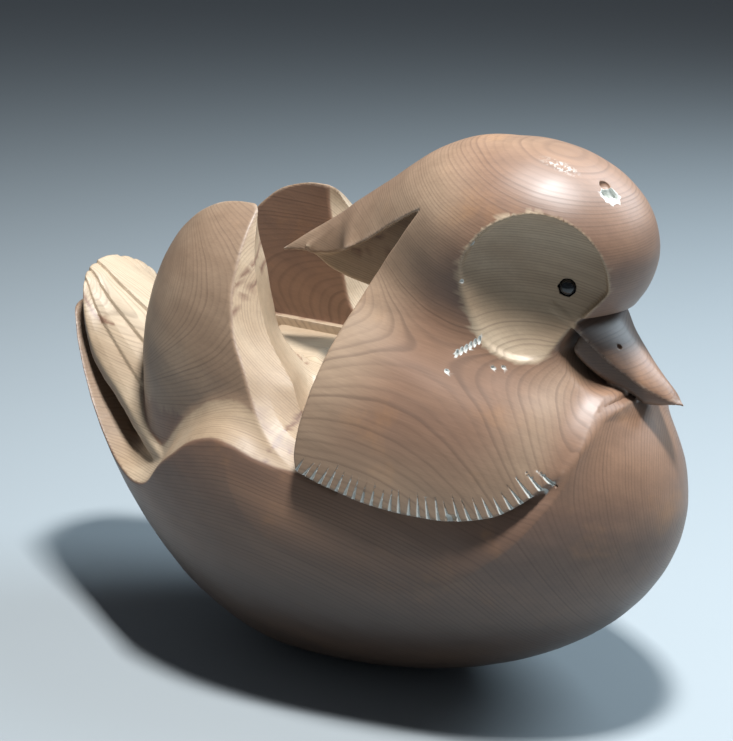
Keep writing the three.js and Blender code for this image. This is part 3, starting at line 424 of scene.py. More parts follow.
def carving_parts(x, side, z):
    """The bare carving, the face of its head and neck, and the way in from the edge of the ruff."""
    y = np.abs(side)
    shell = hull_form(x, y, z)
    throat = THROAT_LINE(x, z)
    dish = dish_form(x, y, z)
    face = join(both(shell, NECK_REAR - x, NECK_EDGE), head_form(x, y, z), NECK_BLEND)
    face = join(face, crest_form(x, y, z), CREST_BLEND)
    face = cut(face, throat, SHARP)
    face = cut(face, dish, DISH_RIM)
    from_ruff = RUFF_LINE(x, z)
    undercut = RUFF_UNDERCUT * np.maximum(0, -face - RUFF_SKIN)
    ruff = both(face, from_ruff + undercut, SHARP)
    flare = DECK_SLOPE(x) * clamp(-shell, 0, DECK_WIDTH)
    deck = z - RIM_HEIGHT(x) - flare - DECK_RISE * ease(x, *DECK_RISE_X)
    behind_ruff = np.maximum(from_ruff + RUFF_BEHIND + undercut, RUFF_REAR - x)
    lower_body = both(shell + scoop_at(x, from_ruff), np.minimum(deck * MEDIUM, behind_ruff), SHARP)
    wood = join(lower_body, mound_form(x, y, z, shell), EASED)
    wood = join(wood, sail_form(x, y, z), FLOWING)
    wood = join(wood, fan_form(x, y, z, shell), SHARP)
    wood = join(wood, ruff, RUFF_SETTLE(x))
    wood = join(wood, both(WEB_LINE(x, z), y - WEB_HALF, CLOSE), CLOSE)
    bill = cut(bill_form(x, y, z, throat), dish, DISH_RIM)
    wood = join(wood, bill, SHARP)
    return np.maximum(wood, -z), face, from_ruff, shell


def carving(x, side, z):
    return carving_parts(x, side, z)[0]


# The marks of the knife and of wear, which only the visual model carries.
def ruff_cuts():
    """Angle and distance of each knife cut along the ruff's edge, seen from the point they run towards."""
    line = smooth_points([RUFF_HEEL, *RUFF_EDGE])
    length = np.append(0, np.cumsum(np.hypot(*np.diff(line, axis=0).T)))
    at = np.linspace(0, length[-1], CUT_COUNT)
    x, z = (np.interp(at, length, line[:, axis]) for axis in range(2))
    x, z = x - CUTS_TOWARDS[0], z - CUTS_TOWARDS[1]
    return np.arctan2(x, -z), np.hypot(x, z)


CUT_ANGLES, CUT_REACH = ruff_cuts()


NUMBER_TURN, SEED_TURN, SPREAD = 12.9898, 78.233, 43758.5453


def scatter(number, seed):
    """A steady stray value between 0 and 1 for each whole number."""
    wave = np.sin(number * NUMBER_TURN + seed * SEED_TURN) * SPREAD
    return wave - np.floor(wave)


def cut_depth(x, side, z):
    """Depth of the knife cuts under the ruff's face: narrow notches, deepest at the edge."""
    across, up = x - CUTS_TOWARDS[0], z - CUTS_TOWARDS[1]
    angle, reach = np.arctan2(across, -up), np.hypot(across, up)
    order = np.interp(angle, CUT_ANGLES, np.arange(CUT_COUNT), left=-9, right=CUT_COUNT + 9)
    number = clamp(np.round(order), 0, CUT_COUNT - 1).astype(int)
    hand = np.sign(side)
    length = CUT_LENGTH * (1 - CUT_UNEVEN / 2 + CUT_UNEVEN * scatter(number, 3 + hand))
    from_edge = CUT_REACH[number] - reach
    lean = (scatter(number, 1 + hand) - 0.5) * CUT_LEAN
    spent = clamp(1 - from_edge / length, 0.05, 1.1)
    sideways = np.abs(reach * np.sin(angle - CUT_ANGLES[number]) - lean * from_edge / length)
    depth = CUT_DEPTH * spent * (1 - sideways / (CUT_WIDTH / 2 * spent))
    return np.where((from_edge < length) & (from_edge > -3), depth, -9)


# Each chip: its middle, its half sizes along x, y and z, how ragged it is, and how pale the broken wood is.
CHIPS = (((98.8, -9.0, 194.2), (3.9, 3.0, 3.2), 0.6, 1.0),
         ((96.4, -7.9, 197.4), (2.4, 2.0, 1.7), 0.4, 0.1),
         ((69.5, -58.6, 88.2), (2.2, 1.8, 1.6), 0.4, 0.2),
         ((-38.5, -23.6, 179.5), (1.6, 1.2, 2.0), 0.3, 0.5),
         ((-27.0, -38.5, 150.0), (0.9, 1.2, 1.3), 0.3, 0.5),
         ((-17.5, -61.0, 118.0), (1.0, 0.9, 1.4), 0.3, 0.5),
         ((104.1, -7.4, 142.3), (1.9, 0.8, 0.8), 0.1, 0.0),
         ((62.5, -36.2, 178.4), (0.9, 0.6, 0.9), 0.2, 0.9),
         ((59.1, -37.3, 165.1), (0.6, 0.5, 0.6), 0.2, 0.9),
         ((57.9, -44.1, 134.9), (0.8, 0.5, 0.6), 0.2, 1.0),
         ((71.8, -36.4, 136.5), (1.3, 0.4, 0.5), 0.2, 0.7),
         ((74.6, -34.5, 136.7), (0.8, 0.4, 0.5), 0.2, 0.7),
         ((-5.2, 71.5, 71.0), (1.5, 0.8, 1.1), 0.3, 0.3))
CHIP_REACH = 7.0

# A row of short nicks below the eye dish, from one end to the other.
NICKS = tuple((59.2 + 1.25 * n, -40.1 + 0.82 * n, 140.5 + 0.95 * n) for n in range(6))
NICK_HALF = (0.45, 1.0, 1.5)


def chip_form(x, y, z, middle, half, ragged):
    u, v, w = x - middle[0], y - middle[1], z - middle[2]
    wobble = np.sin(2.3 * u + 1.7 * w) + np.sin(2.9 * v - 2.1 * u + 1.0)
    scale = np.sqrt((u / half[0]) ** 2 + (v / half[1]) ** 2 + (w / half[2]) ** 2)
    return from_scale(scale, u, v, w) + 0.3 * ragged * wobble


def chips_near(x, side, z):
    """Each chip and nick that touches these points: which points, its distance there and how pale it is."""
    nicks = tuple((middle, NICK_HALF, 0.1, 1.0) for middle in NICKS)
    for middle, half, ragged, pale in CHIPS + nicks:
        near = np.maximum.reduce([np.abs(x - middle[0]), np.abs(side - middle[1]), np.abs(z - middle[2])])
        close = np.nonzero(near < CHIP_REACH)[0]
        if len(close):
            yield close, chip_form(x[close], side[close], z[close], middle, half, ragged), pale


def bead_centre():
    """Centre of the left bead: it stands a little proud of the floor of its dish."""
    c, s = math.cos(DISH_FACING), math.sin(DISH_FACING)
    outward = np.array([s, c, 0])
    start = np.array([DISH_X + c * BEAD_ALONG, DISH_Y - s * BEAD_ALONG, DISH_Z + BEAD_UP])
    line = start + outward * np.arange(-20, 5, 0.05)[:, None]
    outside = carving(*line.T) >= 0
    return line[np.argmax(outside)] + outward * (BEAD_PROUD - BEAD_RADIUS)


BEAD = bead_centre()
WAVE_HEIGHT, WAVE_LENGTH = 0.07, 19.0


def finished_carving(x, side, z):
    """The carving with its bead sockets, knife cuts and chips, and the slight waves of the hand."""
    wood, face, from_ruff, _ = carving_parts(x, side, z)
    y = np.abs(side)
    turn = 2 * math.pi / WAVE_LENGTH
    wave = np.sin(turn * (x + 0.4 * z)) * np.cos(turn * (z - 0.3 * x) + side * 0.1)
    wood = wood + WAVE_HEIGHT * wave
    close = np.nonzero((from_ruff < 2.5) & (from_ruff > -14) & (np.abs(face) < 4) & (z < 125) & (x > 8))[0]
    if len(close):
        depth = cut_depth(x[close], side[close], z[close])
        wood[close] = np.maximum(wood[close], (face[close] + depth) * 0.55)
    from_bead = np.sqrt((x - BEAD[0]) ** 2 + (y - BEAD[1]) ** 2 + (z - BEAD[2]) ** 2)
    wood = np.maximum(wood, BEAD_RADIUS + BEAD_GAP - from_bead)
    for close, chip, _ in chips_near(x, side, z):
        wood[close] = cut(wood[close], chip, 0.3)
    return np.maximum(wood, -z)


# Meshing: the form is read on a fine grid near the surface, and one vertex is set in each crossed cell.
CHUNK = 32768
BLOCK = 8
FAR = 99.0
FINE_STEP, QUICK_STEP = 0.85, 1.9
GRID_LOW, GRID_HIGH = (-152.0, -78.0, -3.4), (129.0, 78.0, 212.0)
NEAR_SURFACE, CROSSING_PASSES, FIRM_SHARE = 1.3, 4, 0.1
FACE_LIMIT, MARK_CUTS = 128000, 2
CORNER_INSET, NORMAL_PROBE, LEAST_AGREEMENT, SMOOTH_SPREAD = 0.3, 0.15, 0.3, math.radians(16)


def read(form, points):
    """The form at each point, read a chunk at a time."""
    out = np.empty(len(points))
    for start in range(0, len(points), CHUNK):
        stop = start + CHUNK
        out[start:stop] = form(*points[start:stop].T)
    return out


def slope(form, points, probe=0.1):
    """The form's gradient at each point."""
    gradient = np.empty_like(points)
    for axis in range(3):
        shift = np.zeros(3)
        shift[axis] = probe
        gradient[:, axis] = read(form, points + shift) - read(form, points - shift)
    return gradient / (2 * probe)


def read_near(form, low, step, blocks):
    """The form on a grid, read only in the blocks that the surface may cross."""
    size = blocks * BLOCK
    strides = np.array([1, size[0], size[0] * size[1]])
    places = np.stack(np.meshgrid(*[np.arange(n) for n in blocks], indexing="ij"), -1).reshape(-1, 3)
    middle = read(form, low + ((places + 0.5) * BLOCK - 0.5) * step)
    near = np.abs(middle) < BLOCK * step * NEAR_SURFACE
    cells = np.stack(np.meshgrid(*[np.arange(BLOCK)] * 3, indexing="ij"), -1).reshape(-1, 3)
    field = np.zeros(int(np.prod(size)), dtype=np.float32)
    inside = places[~near] * BLOCK @ strides
    field[inside[:, None] + cells @ strides] = np.where(middle[~near] < 0, -FAR, FAR)[:, None]
    todo = places[near] * BLOCK
    group = CHUNK // BLOCK ** 3
    for start in range(0, len(todo), group):
        where = (todo[start:start + group, None] + cells[None]).reshape(-1, 3)
        field[where @ strides] = form(*(low + where * step).T)
    return field, size, strides


def crossings(form, field, size, strides, low, step):
    """Each grid edge that the surface crosses: its start, axis, sense, crossing point and normal there."""
    inside = field.reshape(size[::-1]) < 0
    starts, axes = [], []
    for axis in range(3):
        lower, upper = [slice(None)] * 3, [slice(None)] * 3
        lower[2 - axis], upper[2 - axis] = slice(None, -1), slice(1, None)
        k, j, i = np.nonzero(inside[tuple(lower)] != inside[tuple(upper)])
        starts.append(np.stack([i, j, k], 1))
        axes.append(np.full(len(i), axis))
    start, axis = np.concatenate(starts), np.concatenate(axes)
    index = start @ strides
    a = np.clip(field[index].astype(float), -2, 2)
    b = np.clip(field[index + strides[axis]].astype(float), -2, 2)
    outward = a < 0
    base, along = low + start * step, np.eye(3)[axis] * step
    near, far = np.zeros(len(a)), np.ones(len(a))
    for _ in range(CROSSING_PASSES):
        gap = far - near
        at = np.clip(near + gap * a / (a - b), near + 0.02 * gap, far - 0.02 * gap)
        value = read(form, base + along * at[:, None])
        same = (value < 0) == (a < 0)
        near, a = np.where(same, at, near), np.where(same, value, a)
        far, b = np.where(same, far, at), np.where(same, b, value)
    point = base + along * np.where(np.abs(a) < np.abs(b), near, far)[:, None]
    normal = slope(form, point)
    normal /= np.maximum(np.linalg.norm(normal, axis=1), 1e-9)[:, None]
    return start, axis, outward, point, normal


def sum_into(owners, weights, count):
    """The sum of what the crossings give to each cell, when each crossing touches four cells."""
    return sum(np.bincount(owners[:, c], weights=weights, minlength=count) for c in range(4))


def dual_mesh(form, low, high, step):
    """Vertices drawn to the creases of the form, and the four-sided faces that join them."""
    low = np.array(low)
    blocks = np.ceil((np.array(high) - low) / (step * BLOCK)).astype(int)
    field, size, strides = read_near(form, low, step, blocks)
    start, axis, outward, point, normal = crossings(form, field, size, strides, low, step)
    rows = np.arange(len(start))
    first, second = (axis + 1) % 3, (axis + 2) % 3
    corners = []
    for back_first, back_second in ((0, 0), (1, 0), (1, 1), (0, 1)):
        cell = start.copy()
        cell[rows, first] -= back_first
        cell[rows, second] -= back_second
        corners.append(cell @ strides)
    cells, owners = np.unique(np.stack(corners, 1), return_inverse=True)
    owners = owners.reshape(-1, 4)
    count = len(cells)
    share = sum_into(owners, None, count)
    middle = np.stack([sum_into(owners, point[:, q], count) / share for q in range(3)], 1)
    # Each crossing gives a plane. The vertex goes where the planes of its cell meet best.
    square = np.zeros((count, 3, 3))
    pull = np.zeros((count, 3))
    for p in range(3):
        for c in range(4):
            who = owners[:, c]
            away = np.einsum("ij,ij->i", normal, point - middle[who])
            pull[:, p] += np.bincount(who, weights=normal[:, p] * away, minlength=count)
        for q in range(p, 3):
            square[:, p, q] = square[:, q, p] = sum_into(owners, normal[:, p] * normal[:, q], count)
    width, turn = np.linalg.eigh(square)
    firm = width > FIRM_SHARE * width[:, 2:]
    shift = np.einsum("nij,nj,nkj,nk->ni", turn, firm / np.where(firm, width, 1), turn, pull)
    layer, rest = np.divmod(cells, strides[2])
    corner = low + np.stack([rest % strides[1], rest // strides[1], layer], 1) * step
    vertices = np.clip(middle + shift, corner, corner + step)
    return vertices, np.where(outward[:, None], owners, owners[:, ::-1])


def mesh_object(name, vertices, faces):
    """An object in the scene with these vertices and faces, all of the same number of corners."""
    mesh = bpy.data.meshes.new(name)
    corners = faces.shape[1]
    mesh.vertices.add(len(vertices))
    mesh.vertices.foreach_set("co", vertices.astype(np.float32).ravel())
    mesh.loops.add(faces.size)
    mesh.loops.foreach_set("vertex_index", faces.astype(np.int32).ravel())
    mesh.polygons.add(len(faces))
    mesh.polygons.foreach_set("loop_start", np.arange(0, faces.size, corners, dtype=np.int32))
    mesh.update(calc_edges=True)
    mesh.validate()
    thing = bpy.data.objects.new(name, mesh)
    bpy.context.scene.collection.objects.link(thing)
    return thing


def drawn_onto(form, points, passes=3):
    """Points moved along the form's gradient until they lie on it."""
    for _ in range(passes):
        away = read(form, points)
        gradient = slope(form, points)
        steep = np.maximum((gradient ** 2).sum(1), 0.25)
        points = points - gradient * clamp(away / steep, -0.3, 0.3)[:, None]
    return points


def thinned(thing, limit):
    """Faces joined where the surface is flattest until no more than the limit are left, as triangles."""
    triangles = sum(len(p.vertices) - 2 for p in thing.data.polygons)
    thin = thing.modifiers.new("thin", "DECIMATE")
    thin.ratio = min(1, limit / triangles)
    thin.use_collapse_triangulate = True
    graph = bpy.context.evaluated_depsgraph_get()
    mesh = bpy.data.meshes.new_from_object(thing.evaluated_get(graph))
    thing.modifiers.clear()
    old = thing.data
    thing.data = mesh
    bpy.data.meshes.remove(old)
    mesh.name = thing.name


def to_frame(points):
    """From the carver's millimetres to the frame's metres."""
    return (points + (BACK_TO_MIDDLE, 0, 0)) * MM


def add_tone(mesh, name, values):
    """A value at each vertex, from 0 to 1, that the finish reads by name."""
    layer = mesh.attributes.new(name, "FLOAT", "POINT")
    layer.data.foreach_set("value", clamp(values, 0, 1).astype(np.float32))


def knife_marks(points):
    """How deep in a knife cut each point is, and how pale the broken wood is in the chips and nicks."""
    x, side, z = points.T
    cuts, broken = np.zeros(len(x)), np.zeros(len(x))
    _, face, from_ruff, _ = carving_parts(x, side, z)
    close = np.nonzero((from_ruff < 1.5) & (from_ruff > -14) & (np.abs(face) < 3) & (z < 125) & (x > 8))[0]
    cuts[close] = ease(cut_depth(x[close], side[close], z[close]), 0.0, 0.3)
    for close, chip, pale in chips_near(x, side, z):
        broken[close] = np.maximum(broken[close], pale * (1 - ease(chip, 0.05, 0.45)))
    return cuts, broken


# The first keeps the tail's cut faces dark as painted shade, the second paints light on the sail and ruff,
# the third darkens the lower hull as stain and painted shade, and the fourth paints the brow's shadow on
# the bill.
TAIL_PAINTED_SHADE, PAINTED_LIGHT_SHARE, HULL_STAIN_AND_SHADE, BILL_PAINTED_SHADOW = 0.55, 0.45, 0.84, 0.58
HOLLOW_PROBES, EDGE_PROBE, TONE_PROBE = (3.0, 8.0), 1.1, 0.4
ON_FACE, BREAST_X, TAIL_X, HULL_FADE = (0.4, 1.2), (80, 88), (-118, -84), (34, 100)


def surface_tones(points, normals):
    """What the finish needs to know of each point: bare cut wood with painted light and painted shade mixed
    in, hollows, the lower hull's stain with painted shade, the painted shadow on the bill's side, and worn
    edges.
    """
    x, side, z = points.T
    y = np.abs(side)
    _, face, from_ruff, shell = carving_parts(x, side, z)
    throat = THROAT_LINE(x, z)
    bill = bill_form(x, y, z, throat)
    dome = dome_form(x, y, z)
    from_dish = dish_form(x, y, z)
    channel = np.where(z > CHANNEL_FLOOR + 2, np.abs(y - CHANNEL_HALF), FAR)
    behind = shell + scoop_at(x, from_ruff)
    in_dish = ease(-from_dish, -1.2, -0.4)
    on_floor = 1 - ease(np.abs(from_dish), *ON_FACE)
    outside = [np.abs(form) for form in (shell, bill, dome, behind, channel, throat)]
    outside.append(np.abs(face) + FAR * in_dish)
    cut_by_knife = ease(np.minimum.reduce(outside) + FAR * on_floor, 0.3, 0.9)
    bare_and_painted_light = cut_by_knife * (1 - ease(x, *BREAST_X) * (1 - in_dish))
    # Painted shade: away from the fan's face, the tail's cut faces keep the darker waxed colour.
    bare_and_painted_light *= 1 - TAIL_PAINTED_SHADE * (1 - ease(x, *TAIL_X)) * ease(np.abs(z - fan_face(x, y)), 1.5, 3)
    # Painted light: the sail's face and a band along the ruff's lower edge are made pale like bare wood.
    painted_light_on_sail = 1 - ease(np.abs(dome), *ON_FACE)
    painted_light_on_ruff = ease(from_ruff, -32, -4) * (1 - ease(np.abs(face), *ON_FACE)) * (from_ruff < 0.6)
    painted_light_on_ruff *= 1 - ease(x, 88, 100)
    bare_and_painted_light = np.maximum(bare_and_painted_light, PAINTED_LIGHT_SHARE * np.maximum(painted_light_on_sail * (z > 100), painted_light_on_ruff))
    # How hollow each point lies; the finish darkens the hollows as painted shade.
    room = [read(carving, points + normals * probe) / probe for probe in HOLLOW_PROBES]
    hollow = 1 - np.minimum(*room)
    edge = 1 + read(carving, points - normals * EDGE_PROBE) / EDGE_PROBE
    worn = ease(edge, 0.3, 0.8) * (1 - ease(-from_dish, -3, -1.5))
    # Painted shadow of the brow on the side of the bill, up to a line short of its tip.
    bill_shadow_mask = (1 - on_floor) * (1 - ease(np.abs(bill), *ON_FACE))
    bill_shadow_mask *= 1 - ease(x + 0.35 * (z - 133), 108.5, 112.5)
    # Darker towards the bottom of the hull: partly a stain of the wood, partly painted shade of the
    # underside.
    low_hull = (1 - ease(z, *HULL_FADE)) * (1 - bare_and_painted_light)
    stain_and_shade_mask = np.maximum(HULL_STAIN_AND_SHADE * low_hull, BILL_PAINTED_SHADOW * bill_shadow_mask)
    return bare_and_painted_light, ease(hollow, 0.65, 1.4), stain_and_shade_mask, worn


def near_marks(points):
    """The points close to a knife cut, a chip or a nick."""
    x, side, z = points.T
    _, face, from_ruff, _ = carving_parts(x, side, z)
    beside_edge = (from_ruff < 1.5) & (from_ruff > -CUT_LENGTH - 2)
    near = beside_edge & (np.abs(face) < 2) & (z < 104) & (x > 8) & (x < 98)
    for close, chip, _ in chips_near(x, side, z):
        near[close[chip < 1.2]] = True
    return near


def refined(mesh, wanted, cuts):
    """The edges between the wanted points split, for detail that is finer than the rest."""
    board = bmesh.new()
    board.from_mesh(mesh)
    chosen = [edge for edge in board.edges if wanted[edge.verts[0].index] and wanted[edge.verts[1].index]]
    bmesh.ops.subdivide_edges(board, edges=chosen, cuts=cuts, use_grid_fill=True)
    bmesh.ops.triangulate(board, faces=board.faces)
    board.to_mesh(mesh)
    board.free()


# The tones: bare wood with painted light and shade, hollows that the finish darkens as painted shade, stain
# with painted shade, worn edges, knife cuts and broken wood.
TONES = ("bare_and_painted_light", "hollow", "stain_and_shade_mask", "worn", "knife_cut", "broken")


def points_of(mesh):
    """The vertices of a mesh as rows of x, y and z."""
    flat = np.empty(len(mesh.vertices) * 3, dtype=np.float32)
    mesh.vertices.foreach_get("co", flat)
    return flat.reshape(-1, 3).astype(float)


def unit(vectors):
    return vectors / np.maximum(np.linalg.norm(vectors, axis=1), 1e-9)[:, None]


def shade_from_form(mesh, points, form):
    """Normals read from the form just inside each face's corners: crisp at creases, smooth elsewhere."""
    corner = np.empty(len(mesh.loops), dtype=np.int32)
    mesh.loops.foreach_get("vertex_index", corner)
    faces = points[corner].reshape(-1, 3, 3)
    middle = faces.mean(1)
    inner = (faces * (1 - CORNER_INSET) + middle[:, None] * CORNER_INSET).reshape(-1, 3)
    normal = unit(slope(form, inner, NORMAL_PROBE))
    flat = unit(np.cross(faces[:, 1] - faces[:, 0], faces[:, 2] - faces[:, 0])).repeat(3, 0)
    astray = (normal * flat).sum(1) < LEAST_AGREEMENT
    normal[astray] = flat[astray]
    count = len(points)
    sums = [np.bincount(corner, weights=normal[:, axis], minlength=count) for axis in range(3)]
    mean = unit(np.stack(sums, 1))
    together = np.ones(count)
    np.minimum.at(together, corner, (normal * mean[corner]).sum(1))
    smooth = together[corner] > math.cos(SMOOTH_SPREAD)
    normal[smooth] = mean[corner][smooth]
    mesh.normals_split_custom_set(normal)


def carve():
    """The carved duck: meshed, thinned, split finer at its marks and drawn onto the form."""
    step = FINE_STEP
    vertices, faces = dual_mesh(finished_carving, GRID_LOW, GRID_HIGH, step)
    duck = mesh_object("carved_duck", vertices, faces)
    thinned(duck, FACE_LIMIT)
    mesh = duck.data
    refined(mesh, near_marks(points_of(mesh)), MARK_CUTS)
    points = drawn_onto(finished_carving, points_of(mesh))
    normals = unit(slope(carving, points, TONE_PROBE))
    placed = np.clip(to_frame(points), cad_low, cad_high)
    mesh.vertices.foreach_set("co", placed.astype(np.float32).ravel())
    tones = surface_tones(points, normals) + knife_marks(points)
    for name, tone in zip(TONES, tones):
        add_tone(mesh, name, tone)
    mesh.polygons.foreach_set("use_smooth", np.ones(len(mesh.polygons), dtype=bool))
    mesh.update()
    shade_from_form(mesh, points, finished_carving)
    return duck


# Shaders: sums and products are written as expressions, and every other node comes from one method.
class Value:
    """A number that varies over a surface. Arithmetic on it adds Math nodes."""

    def __init__(self, board, socket):
        self.board, self.socket = board, socket

    def maths(self, operation, *others):
        sockets = dict(enumerate((self,) + others))
        return self.board.node("ShaderNodeMath", {"operation": operation}, sockets)

    def __add__(self, other):
        return self.maths("ADD", other)

    def __sub__(self, other):
        return self.maths("SUBTRACT", other)

    def __rsub__(self, other):
        return self.board.node("ShaderNodeMath", {"operation": "SUBTRACT"}, {0: other, 1: self})

    def __mul__(self, other):
        return self.maths("MULTIPLY", other)

    def __truediv__(self, other):
        return self.maths("DIVIDE", other)

    __radd__, __rmul__ = __add__, __mul__

    def between(self, low, high):
        """Smoothly from 0 to 1 while this value goes from low to high."""
        settings = {"interpolation_type": "SMOOTHSTEP"}
        sockets = {"Value": self, "From Min": low, "From Max": high}
        return self.board.node("ShaderNodeMapRange", settings, sockets)


class Board:
    """A material, and the few calls that fill its node tree."""

    def __init__(self, name):
        self.material = bpy.data.materials.new(name)
        self.material.use_nodes = True
        self.tree = self.material.node_tree
        self.tree.nodes.clear()

    def node(self, kind, settings=None, sockets=None, output=0):
        """A node of this kind, with its settings first and then what goes into its sockets."""
        made = self.tree.nodes.new(kind)
        for key, value in (settings or {}).items():
            setattr(made, key, value)
        for key, value in (sockets or {}).items():
            if isinstance(value, Value):
                self.tree.links.new(value.socket, made.inputs[key])
            else:
                made.inputs[key].default_value = value
        return None if output is None else Value(self, made.outputs[output])

    def vector(self, operation, *values, output=0):
        return self.node("ShaderNodeVectorMath", {"operation": operation}, dict(enumerate(values)), output)

    def scaled(self, vector, factor):
        return self.node("ShaderNodeVectorMath", {"operation": "SCALE"}, {0: vector, "Scale": factor})

    def mix(self, factor, first, second):
        """A colour between two others, each a socket or three numbers."""
        sockets = {0: factor}
        for key, colour in ((6, first), (7, second)):
            sockets[key] = colour if isinstance(colour, Value) else (*colour, 1)
        return self.node("ShaderNodeMix", {"data_type": "RGBA"}, sockets, 2)

    def noise(self, vector, size, detail=2.0, roughness=0.5):
        """Noise in space whose patches are about this size."""
        sockets = {"Vector": vector, "Scale": 1 / size, "Detail": detail, "Roughness": roughness}
        return self.node("ShaderNodeTexNoise", {"noise_dimensions": "3D"}, sockets)

    def noise_along(self, number, size, detail=2.0):
        """Noise along one number, with stretches of about this length."""
        sockets = {"W": number, "Scale": 1 / size, "Detail": detail}
        return self.node("ShaderNodeTexNoise", {"noise_dimensions": "1D"}, sockets)

    def tone(self, name):
        """A value that the mesh carries under this name."""
        return self.node("ShaderNodeAttribute", {"attribute_name": name}, output=2)

    def finish(self, shader):
        self.node("ShaderNodeOutputMaterial", None, {"Surface": shader}, None)
        return self.material


# The rings of the wood lie round a pith. Sizes of its patches, streaks and hairs are in millimetres.
PITH_POINT, PITH_AXIS = (21.4, -8.1, 116.6), (0.957, 0.167, -0.236)
BEND, BEND_SIZE, RIPPLE, RIPPLE_SIZE, YEARS = 6.0, 70, 0.5, 16, 9
PATCH, BLOTCH, STREAK, HAIR, FINE, SCRATCH, RUB = 34, 24, 3.2, 0.5, 0.7, 1.6, 6
STRETCH, HAIR_STRETCH = 0.3, 0.03
GRAIN_HEIGHT = 0.1
SCRAPE_MIDDLE, SCRAPE_HALF = (94.0, -13.2, 203.0), (13.0, 3.4, 4.0)


def growth_rings(board, place, look):
    """How dark the late wood is, the way out from the pith, and two spaces drawn out along the fibres."""
    axis = Vector(PITH_AXIS).normalized()
    offset = board.vector("SUBTRACT", place, PITH_POINT)
    along = board.vector("DOT_PRODUCT", offset, axis, output=1)
    radial = board.vector("SUBTRACT", offset, board.scaled(axis, along))
    loose = board.vector("ADD", radial, board.scaled(axis, along * STRETCH))
    fibre = board.vector("ADD", radial, board.scaled(axis, along * HAIR_STRETCH))
    drift = (board.noise(loose, BEND_SIZE, 1.0) - 0.5) * BEND
    drift = drift + (board.noise(loose, RIPPLE_SIZE, 1.0) - 0.5) * RIPPLE
    reach = board.vector("LENGTH", radial, output=1) + drift
    number = reach / look.ring_spacing_mm + board.noise_along(reach, YEARS, 1.0) * 1.5
    turn = number.maths("FRACT")
    late = turn.between(0.42, 0.80) * (1 - turn.between(0.84, 1.0))
    year = board.node("ShaderNodeTexWhiteNoise", {"noise_dimensions": "1D"}, {"W": number.maths("FLOOR")})
    patch = board.noise(loose, PATCH, 3.0, 0.55)
    return late * (0.25 + 0.75 * year) * (0.45 + 0.9 * patch), patch, reach, fibre


def waxed_wood(look):
    """Brown heartwood under wax: growth rings round a pith that runs with the duck, fibres along it, paler
    where the knife left it bare, painted light on the sail and ruff, painted shade in the hollows, under
    the hull and on the bill's side, and pale worn edges."""
    board = Board("waxed_wood")
    place = board.scaled(board.node("ShaderNodeTexCoord", output=3), 1 / MM)
    ring, patch, reach, fibre = growth_rings(board, place, look)
    fine = board.noise_along(reach, FINE, 2.0)
    hair = board.noise(fibre, HAIR, 2.0, 0.6)
    streak = board.noise(fibre, STREAK, 3.0, 0.6)
    blotch = board.noise(place, BLOTCH, 4.0, 0.6)
    scratchy = board.noise(place, SCRATCH, 3.0, 0.6)
    bare_and_painted_light, hollow, worn = board.tone("bare_and_painted_light"), board.tone("hollow"), board.tone("worn")

    # The wood itself, waxed or bare; the bare colour also paints light on the sail's face and the ruff's
    # lower band.
    smooth = board.mix(patch.between(0.32, 0.68), look.wax_dark, look.wax_warm)
    smooth = board.mix(blotch.between(0.56, 0.78) * 0.55, smooth, look.wax_amber)
    bare = board.mix(patch.between(0.3, 0.7), look.bare_warm, look.bare_pale)
    colour = board.mix(bare_and_painted_light * look.bare_share, smooth, bare)
    colour = board.mix(ring * look.ring_strength, colour, look.late_wood)
    grain = (0.93 + 0.14 * fine) * (0.86 + 0.28 * hair)
    colour = board.scaled(colour, grain * (0.84 + 0.32 * streak) * (0.92 + 0.16 * blotch))

    # What use has left on it, and painted shade: the lower hull's stain with painted shade of the
    # underside, the painted shadow on the bill's side, painted shade in the hollows, rubbed edges, and
    # chalky wood where it is cut or broken.
    colour = board.scaled(colour, 1 - board.tone("stain_and_shade_mask") * look.stain_and_shade_share)
    hollow_shade = hollow * (0.30 + 0.5 * blotch)
    colour = board.mix(hollow_shade * look.hollow_shade, colour, look.hollow_shade_colour)
    rubbed = board.noise(place, RUB, 3.0, 0.6).between(0.42, 0.62) * 0.8 + 0.2
    rubbed = worn * rubbed * scratchy.between(0.3, 0.55)
    colour = board.mix(rubbed * look.wear, colour, look.worn_wood)
    from_scrape = board.vector("DIVIDE", board.vector("SUBTRACT", place, SCRAPE_MIDDLE), SCRAPE_HALF)
    scrape = 1 - board.vector("LENGTH", from_scrape, output=1).between(0.25, 1.15)
    scrape = scrape * scratchy.between(0.42, 0.6)
    chalk = board.tone("broken") + board.tone("knife_cut") * 0.85 + scrape * 0.6
    colour = board.mix(chalk.between(0, 1), colour, look.broken_wood)

    rough = look.gloss_roughness + 0.12 * bare_and_painted_light + 0.10 * (blotch - 0.5) + 0.12 * (hair - 0.5)
    rough = rough + 0.10 * ring + 0.12 * hollow_shade + 0.25 * chalk
    height = ring * 0.5 + fine * 0.2 + hair * 0.5 + scratchy * 0.3 * chalk
    relief = {"Strength": look.grain_relief, "Distance": GRAIN_HEIGHT * MM, "Height": height}
    bump = board.node("ShaderNodeBump", None, relief)
    sockets = {"Base Color": colour, "Roughness": rough, "Normal": bump,
               "Specular IOR Level": 0.5, "IOR": 1.48, "Coat Roughness": 0.42,
               "Coat Weight": look.wax_coat * (1 - 0.6 * chalk.between(0, 1))}
    return board.finish(board.node("ShaderNodeBsdfPrincipled", None, sockets))


SMEAR, DUST = 1.3, (0.03, 0.035, 0.042)


